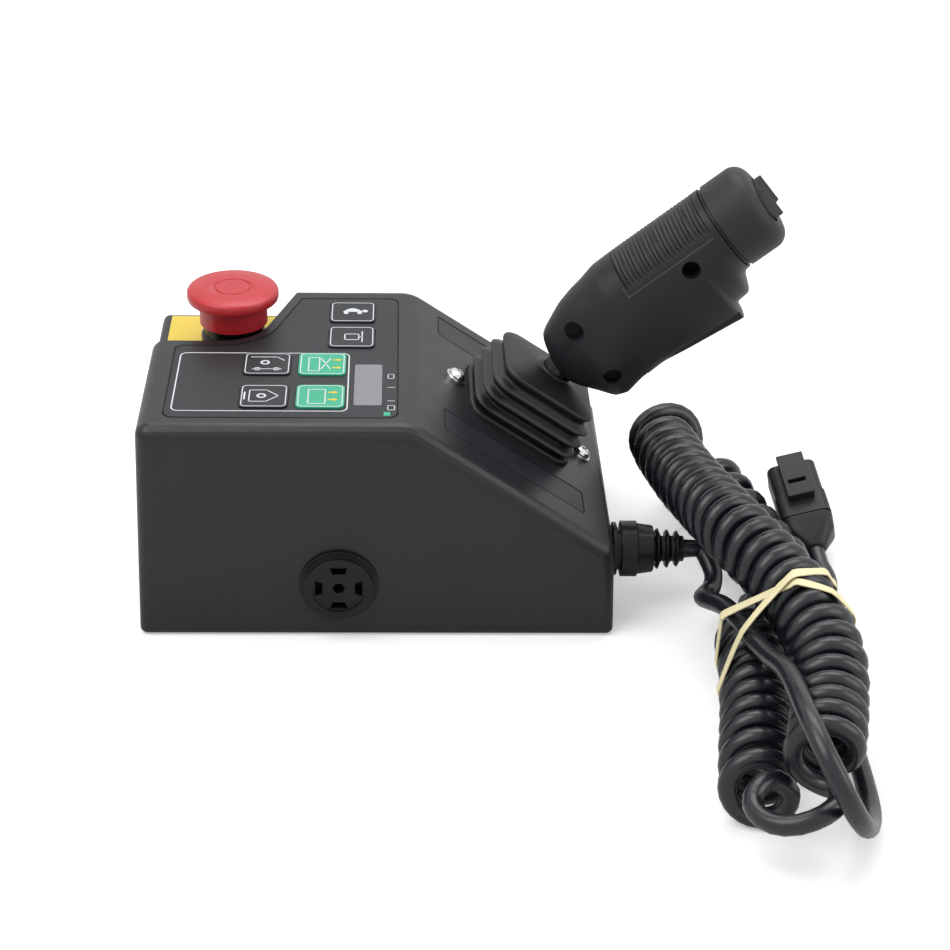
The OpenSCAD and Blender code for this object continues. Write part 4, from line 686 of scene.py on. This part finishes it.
# Grip: each row is share of the length, middle, back reach, front reach, half width and pinch
GRIP_SECTIONS = np.array([
    (0, 0.013, 0.2, 0.2, 0.18, 0), (0.027, -0.025, 0.37, 0.35, 0.28, 0),
    (0.054, -0.025, 0.42, 0.43, 0.33, 0),
    (0.087, 0, 0.485, 0.51, 0.37, 0), (0.13, 0.025, 0.56, 0.64, 0.41, 0.1),
    (0.184, 0.013, 0.605, 0.695, 0.445, 0.15), (0.26, -0.04, 0.6, 0.705, 0.47, 0.2),
    (0.325, -0.1, 0.565, 0.755, 0.485, 0.2), (0.41, -0.18, 0.535, 0.825, 0.495, 0.2),
    (0.54, -0.222, 0.5, 0.91, 0.5, 0.2), (0.68, -0.222, 0.5, 0.945, 0.5, 0.2),
    (0.835, -0.222, 0.5, 0.985, 0.5, 0.2), (0.842, -0.222, 0.5, 0.78, 0.5, 0.2),
    (0.92, -0.222, 0.5, 0.755, 0.5, 0.18), (0.938, -0.222, 0.5, 0.68, 0.5, 0.12),
    (0.955, -0.222, 0.5, 0.56, 0.5, 0.05), (0.975, -0.222, 0.5, 0.51, 0.5, 0),
    (1, -0.222, 0.5, 0.5, 0.5, 0)])
RIB_FROM, RIB_TO, RIB_V, RIB_COUNT, RIB_DEPTH = 47.6, 89.6, -17.6, 22, 0.42


def grip_rows(step=0.3):
    """The grip's sections at a fine step, smoothed along its length but for the lip's edge."""
    at = np.arange(0, GRIP_LEN + step / 2, step)
    cols = [np.interp(at / GRIP_LEN, GRIP_SECTIONS[:, 0], GRIP_SECTIONS[:, i]) for i in range(1, 6)]
    reach = int(2.2 / step)
    soft = []
    for i, c in enumerate(cols):
        kernel = np.hanning(2 * (reach if i != 2 else 4) + 3)[1:-1]
        kernel /= kernel.sum()
        pad = len(kernel) // 2
        long = np.concatenate([2 * c[0] - c[pad:0:-1], c, 2 * c[-1] - c[-2:-pad - 2:-1]])
        soft.append(np.convolve(long, kernel, "valid"))
    return at, soft


def side_share(c, pinch):
    p = 2 + 0.4 * min(1.0, 5 * pinch)
    return (1 - abs(c) ** p) ** (1 / p)


def grip_skin(sides=120):
    at, cols = grip_rows()
    verts = []
    for k, z in enumerate(at):
        mid, back, front, half, pinch = (float(c[k]) for c in cols)
        groove = 0.0
        if RIB_FROM < z < RIB_TO:
            turns = RIB_COUNT * (z - RIB_FROM) / (RIB_TO - RIB_FROM)
            groove = RIB_DEPTH * max(0.0, math.cos(2 * math.pi * turns) + 0.1)
        for i in range(sides):
            a = 2 * math.pi * i / sides
            c, s = math.cos(a), math.sin(a)
            reach = front if c > 0 else back
            wide = (1 - pinch * c * c) * side_share(c, pinch) if c > 0 else abs(s)
            x, y = mid * GRIP_D + reach * GRIP_D * c, half * GRIP_D * wide * (1 if s >= 0 else -1)
            if groove and x < RIB_V:
                fade = min(1.0, (RIB_V - x) / 1.2)
                x, y = x - groove * fade * c, y - groove * fade * s
            verts.append((x, y, float(z)))
    return verts, ring_faces(len(at), sides)


def solid(name, verts, faces):
    data = bpy.data.meshes.new(name)
    data.from_pydata([Vector(v) * MM for v in verts], [], faces)
    bm = bmesh.new()
    bm.from_mesh(data)
    bmesh.ops.recalc_face_normals(bm, faces=bm.faces)
    bm.to_mesh(data)
    bm.free()
    piece = bpy.data.objects.new(name, data)
    bpy.context.scene.collection.objects.link(piece)
    return piece


def prism(name, outline, y0, y1):
    """A solid between two Y places from an outline of (x, z) points."""
    n = len(outline)
    verts = [(x, y0, z) for x, z in outline] + [(x, y1, z) for x, z in outline]
    faces = [tuple(range(n)), tuple(range(2 * n - 1, n - 1, -1))]
    faces += [(i, (i + 1) % n, n + (i + 1) % n, n + i) for i in range(n)]
    return solid(name, verts, faces)


def rod(name, x, z, r, y0, y1):
    return prism(name, disc(x, z, r, 48)[0], y0, y1)


def cut(piece, cutters, how="DIFFERENCE"):
    """Applies boolean cuts to a piece's mesh and removes the cutters."""
    for c in cutters:
        mod = piece.modifiers.new("cut", "BOOLEAN")
        mod.operation = how
        mod.object = c
        mod.solver = "EXACT"
    bpy.context.view_layer.update()
    graph = bpy.context.evaluated_depsgraph_get()
    made = bpy.data.meshes.new_from_object(piece.evaluated_get(graph))
    piece.modifiers.clear()
    old = piece.data
    piece.data = made
    bpy.data.meshes.remove(old)
    for c in cutters:
        data = c.data
        bpy.data.objects.remove(c)
        bpy.data.meshes.remove(data)
    return piece


def finish_piece(piece, material, body, node, bevel=0.0):
    """Puts a cut piece on the lever and shows it in its solid's place."""
    piece.data.transform(ON_GRIP)
    piece.data.materials.clear()
    piece.data.materials.append(material)
    if bevel:
        round_edges(piece, bevel, GRIP_SHARP)
    soften(piece.data, GRIP_SHARP)
    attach(piece, body)
    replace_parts(piece, node)


SEAM = [(26.3, 28.4), (21.5, 46.8), (22.4, 77.9)]
SCREWS_UV = [(17.9, -14.6), (74.1, -9.6), (18.6, 11.5)]
FAR_V = GRIP_D
SLOT_UV = [(16.7, 22.7), (22.4, 22.7), (24.3, 24.6), (FAR_V, 28.5), (FAR_V, 77.8), (9.4, 77.8),
           (14.4, 46.8), (16.7, 28.4)]
BLADE_UV = [(19.6, 29.4), (FAR_V, 29.4), (FAR_V, 76.8), (17.4, 76.8), (17.4, 46.8)]
GRIP_SHARP = 32
TRIGGER_V, TRIGGER_U, TRIGGER_HALF = 20.5, 26.5, 7.2
PANEL_V, PANEL_U, PANEL_TOP, PANEL_SIDE, LINE_HALF, LINE_IN = -15.4, 46.4, 89.4, -19.5, 0.17, 0.3
GRIP_MID_V, GRIP_ROUND = -8.7, 19.66


def make_panel_line():
    """The fine line beside the ribs: one leg along the grip and a short one across it."""
    verts, faces = [], []
    corner = (PANEL_V, PANEL_U)
    for v1, u1 in ((PANEL_V, PANEL_TOP), (PANEL_SIDE, PANEL_U)):
        dv, du = (LINE_HALF, 0) if v1 == PANEL_V else (0, LINE_HALF)
        for k in range(8):
            outer = []
            for e in (k / 8, (k + 1) / 8):
                v, h = corner[0] + (v1 - corner[0]) * e, corner[1] + (u1 - corner[1]) * e
                for side in (-1, 1):
                    x = v + side * dv
                    outer.append((x, -math.sqrt(GRIP_ROUND ** 2 - (x - GRIP_MID_V) ** 2), h + side * du))
            b = len(verts)
            verts += outer + [(x, y + LINE_IN, z) for x, y, z in outer]
            faces += [(b, b + 1, b + 3, b + 2), (b + 4, b + 6, b + 7, b + 5), (b, b + 4, b + 5, b + 1),
                      (b + 2, b + 3, b + 7, b + 6), (b, b + 2, b + 6, b + 4), (b + 1, b + 5, b + 7, b + 3)]
    add_mesh("grip_panel_line", verts, faces, GRIP_LINE, "lever", "grip_plastic", ON_GRIP, smooth=20)


def make_grip():
    for side, y0, y1, node in ((-1, -40, -0.07, "grip_near"), (1, 0.07, 40, "grip_far")):
        skin = solid("skin_" + node, *grip_skin())
        keep = prism("keep", [(-60, -5), (60, -5), (60, 110), (-60, 110)], y0, y1)
        cut(skin, [keep], "INTERSECT")
        away = [prism("seam", SEAM + [(FAR_V, 77.9), (FAR_V, 28.4)], -20, 20),
                prism("slot", SLOT_UV, -7.5, 7.5)]
        shaft = rod("shaft", 0, 0, 6.05, -11, 11)
        shaft.data.transform(turn(math.radians(90), "X"))
        shaft.data.transform(turn(-GRIP_RAKE, "Y"))
        away.append(shaft)
        if side < 0:
            away += [rod("recess", v, h, 3.95, -45, -8.9) for h, v in SCREWS_UV]
        cut(skin, away)
        skin.name = "smooth_" + node
        finish_piece(skin, GRIP, "lever", node)
    make_panel_line()
    blade = solid("blade", *grip_skin())
    cut(blade, [prism("blade_form", BLADE_UV, -TRIGGER_HALF, TRIGGER_HALF)], "INTERSECT")
    hub = rod("hub", TRIGGER_V, TRIGGER_U, 3.2, -TRIGGER_HALF, TRIGGER_HALF)
    neck = prism("neck", [(19.6, TRIGGER_U), (23.1, TRIGGER_U), (23.1, 31.4), (19.6, 31.4)],
                 -TRIGGER_HALF, TRIGGER_HALF)
    cut(blade, [hub, neck], "UNION")
    cut(blade, [rod("pin_hole", TRIGGER_V, TRIGGER_U, 1.55, -30, 30)])
    blade.name = "smooth_trigger"
    finish_piece(blade, DARK, "trigger_body", "trigger", bevel=0.5)


make_grip()
refined("thumb_cap", "soft_thumb_cap", CAP, "lever", bevel=0.7)
refined("thumb_rocker", "soft_thumb_rocker", CAP, "rocker_body", bevel=1.1)
refined("stop_head", "soft_stop_head", RED, "stop_head_body", bevel=0.3, angle=38)
refined("stop_collar", "soft_stop_collar", GLOSS, "box", bevel=0.3)
refined("alarm_bezel", "soft_alarm_bezel", GLOSS, "box", bevel=0.35)
refined("gland_tail", "soft_gland_tail", GLOSS, "box", bevel=0.35)
refined("gland_body", "soft_gland_body", GLOSS, "box", bevel=0.3)
for node in ("plug_boot", "plug_housing", "plug_latch"):
    refined(node, "soft_" + node, DARK, "box", bevel=0.8 if node != "plug_latch" else 0.35)


# Boot: each row is share of the height and the two half widths as shares of the width
BOOT_ROWS = [(0, 0.5, 0.465), (0.064, 0.5, 0.465), (0.093, 0.48, 0.447), (0.121, 0.425, 0.405),
             (0.175, 0.497, 0.478), (0.21, 0.497, 0.478), (0.293, 0.422, 0.405), (0.375, 0.492, 0.473),
             (0.411, 0.492, 0.473), (0.496, 0.417, 0.4), (0.589, 0.475, 0.456), (0.624, 0.475, 0.456),
             (0.7, 0.395, 0.385), (0.807, 0.433, 0.427), (0.846, 0.433, 0.427), (0.878, 0.414, 0.41)]
NECK_ROWS = [(0.915, 0.25, 0.17), (0.945, 0.175, 0.17), (0.972, 0.152, 0.152)]
BOOT_INNER = [(0.815, 0.37, 0.362), (0.7, 0.338, 0.327), (0.496, 0.36, 0.344), (0.293, 0.367, 0.35),
              (0.121, 0.37, 0.35), (0, 0.44, 0.405)]


def square_ring(ax, ay, r, z, dx=0.0, per=13):
    out = []
    for c in range(4):
        for k in range(per):
            q = math.radians(90 * c + 90 * k / (per - 1))
            cx, cy = (1 if c in (0, 3) else -1), (1 if c < 2 else -1)
            out.append((dx + cx * (ax - r) + r * math.cos(q), cy * (ay - r) + r * math.sin(q), z))
    return out


def make_boot():
    rows = [(z * BOOT_H, a * BOOT_W, b * BOOT_W, 9.0, -1.0) for z, a, b in BOOT_ROWS]
    rows += [(z * BOOT_H, a * BOOT_W, a * BOOT_W, r * BOOT_W, 0.0) for z, a, r in NECK_ROWS]
    collar = SHAFT_D / 2 + 0.3
    rows.append((BOOT_H, collar + 1.4, collar + 1.4, collar + 1.4, 0.0))
    fine = []
    for a, b in zip(rows, rows[1:]):
        for k in range(4):
            fine.append([x + (y - x) * k / 4 for x, y in zip(a, b)])
    fine.append(list(rows[-1]))
    soft = np.array(fine)
    for _ in range(3):
        soft[1:-1] = soft[1:-1] * 0.5 + (soft[:-2] + soft[2:]) * 0.25
    rings = [square_ring(a, b, min(r, a, b), z, dx) for z, a, b, r, dx in soft]
    rings += [square_ring(collar, collar, collar, z) for z in (BOOT_H, BOOT_H * 0.89)]
    rings += [square_ring(a * BOOT_W, b * BOOT_W, 9.0, z * BOOT_H, -1.0) for z, a, b in BOOT_INNER]
    n = len(rings[0])
    faces = ring_faces(len(rings), n, closed=True)
    piece = add_mesh("bellows_boot", [v for r in rings for v in r], faces, BOOT, "box", "boot_rubber",
                     AT_JOY, smooth=70)
    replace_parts(piece, "joystick_boot")
    piece.parent = None
    return piece


BOOT_PIECE = make_boot()
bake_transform(BOOT_PIECE)
sprung("stop_spring", "coil_stop_spring", Matrix.Identity(4), 2)
sprung("trigger_spring", "coil_trigger_spring", ON_GRIP, 0)
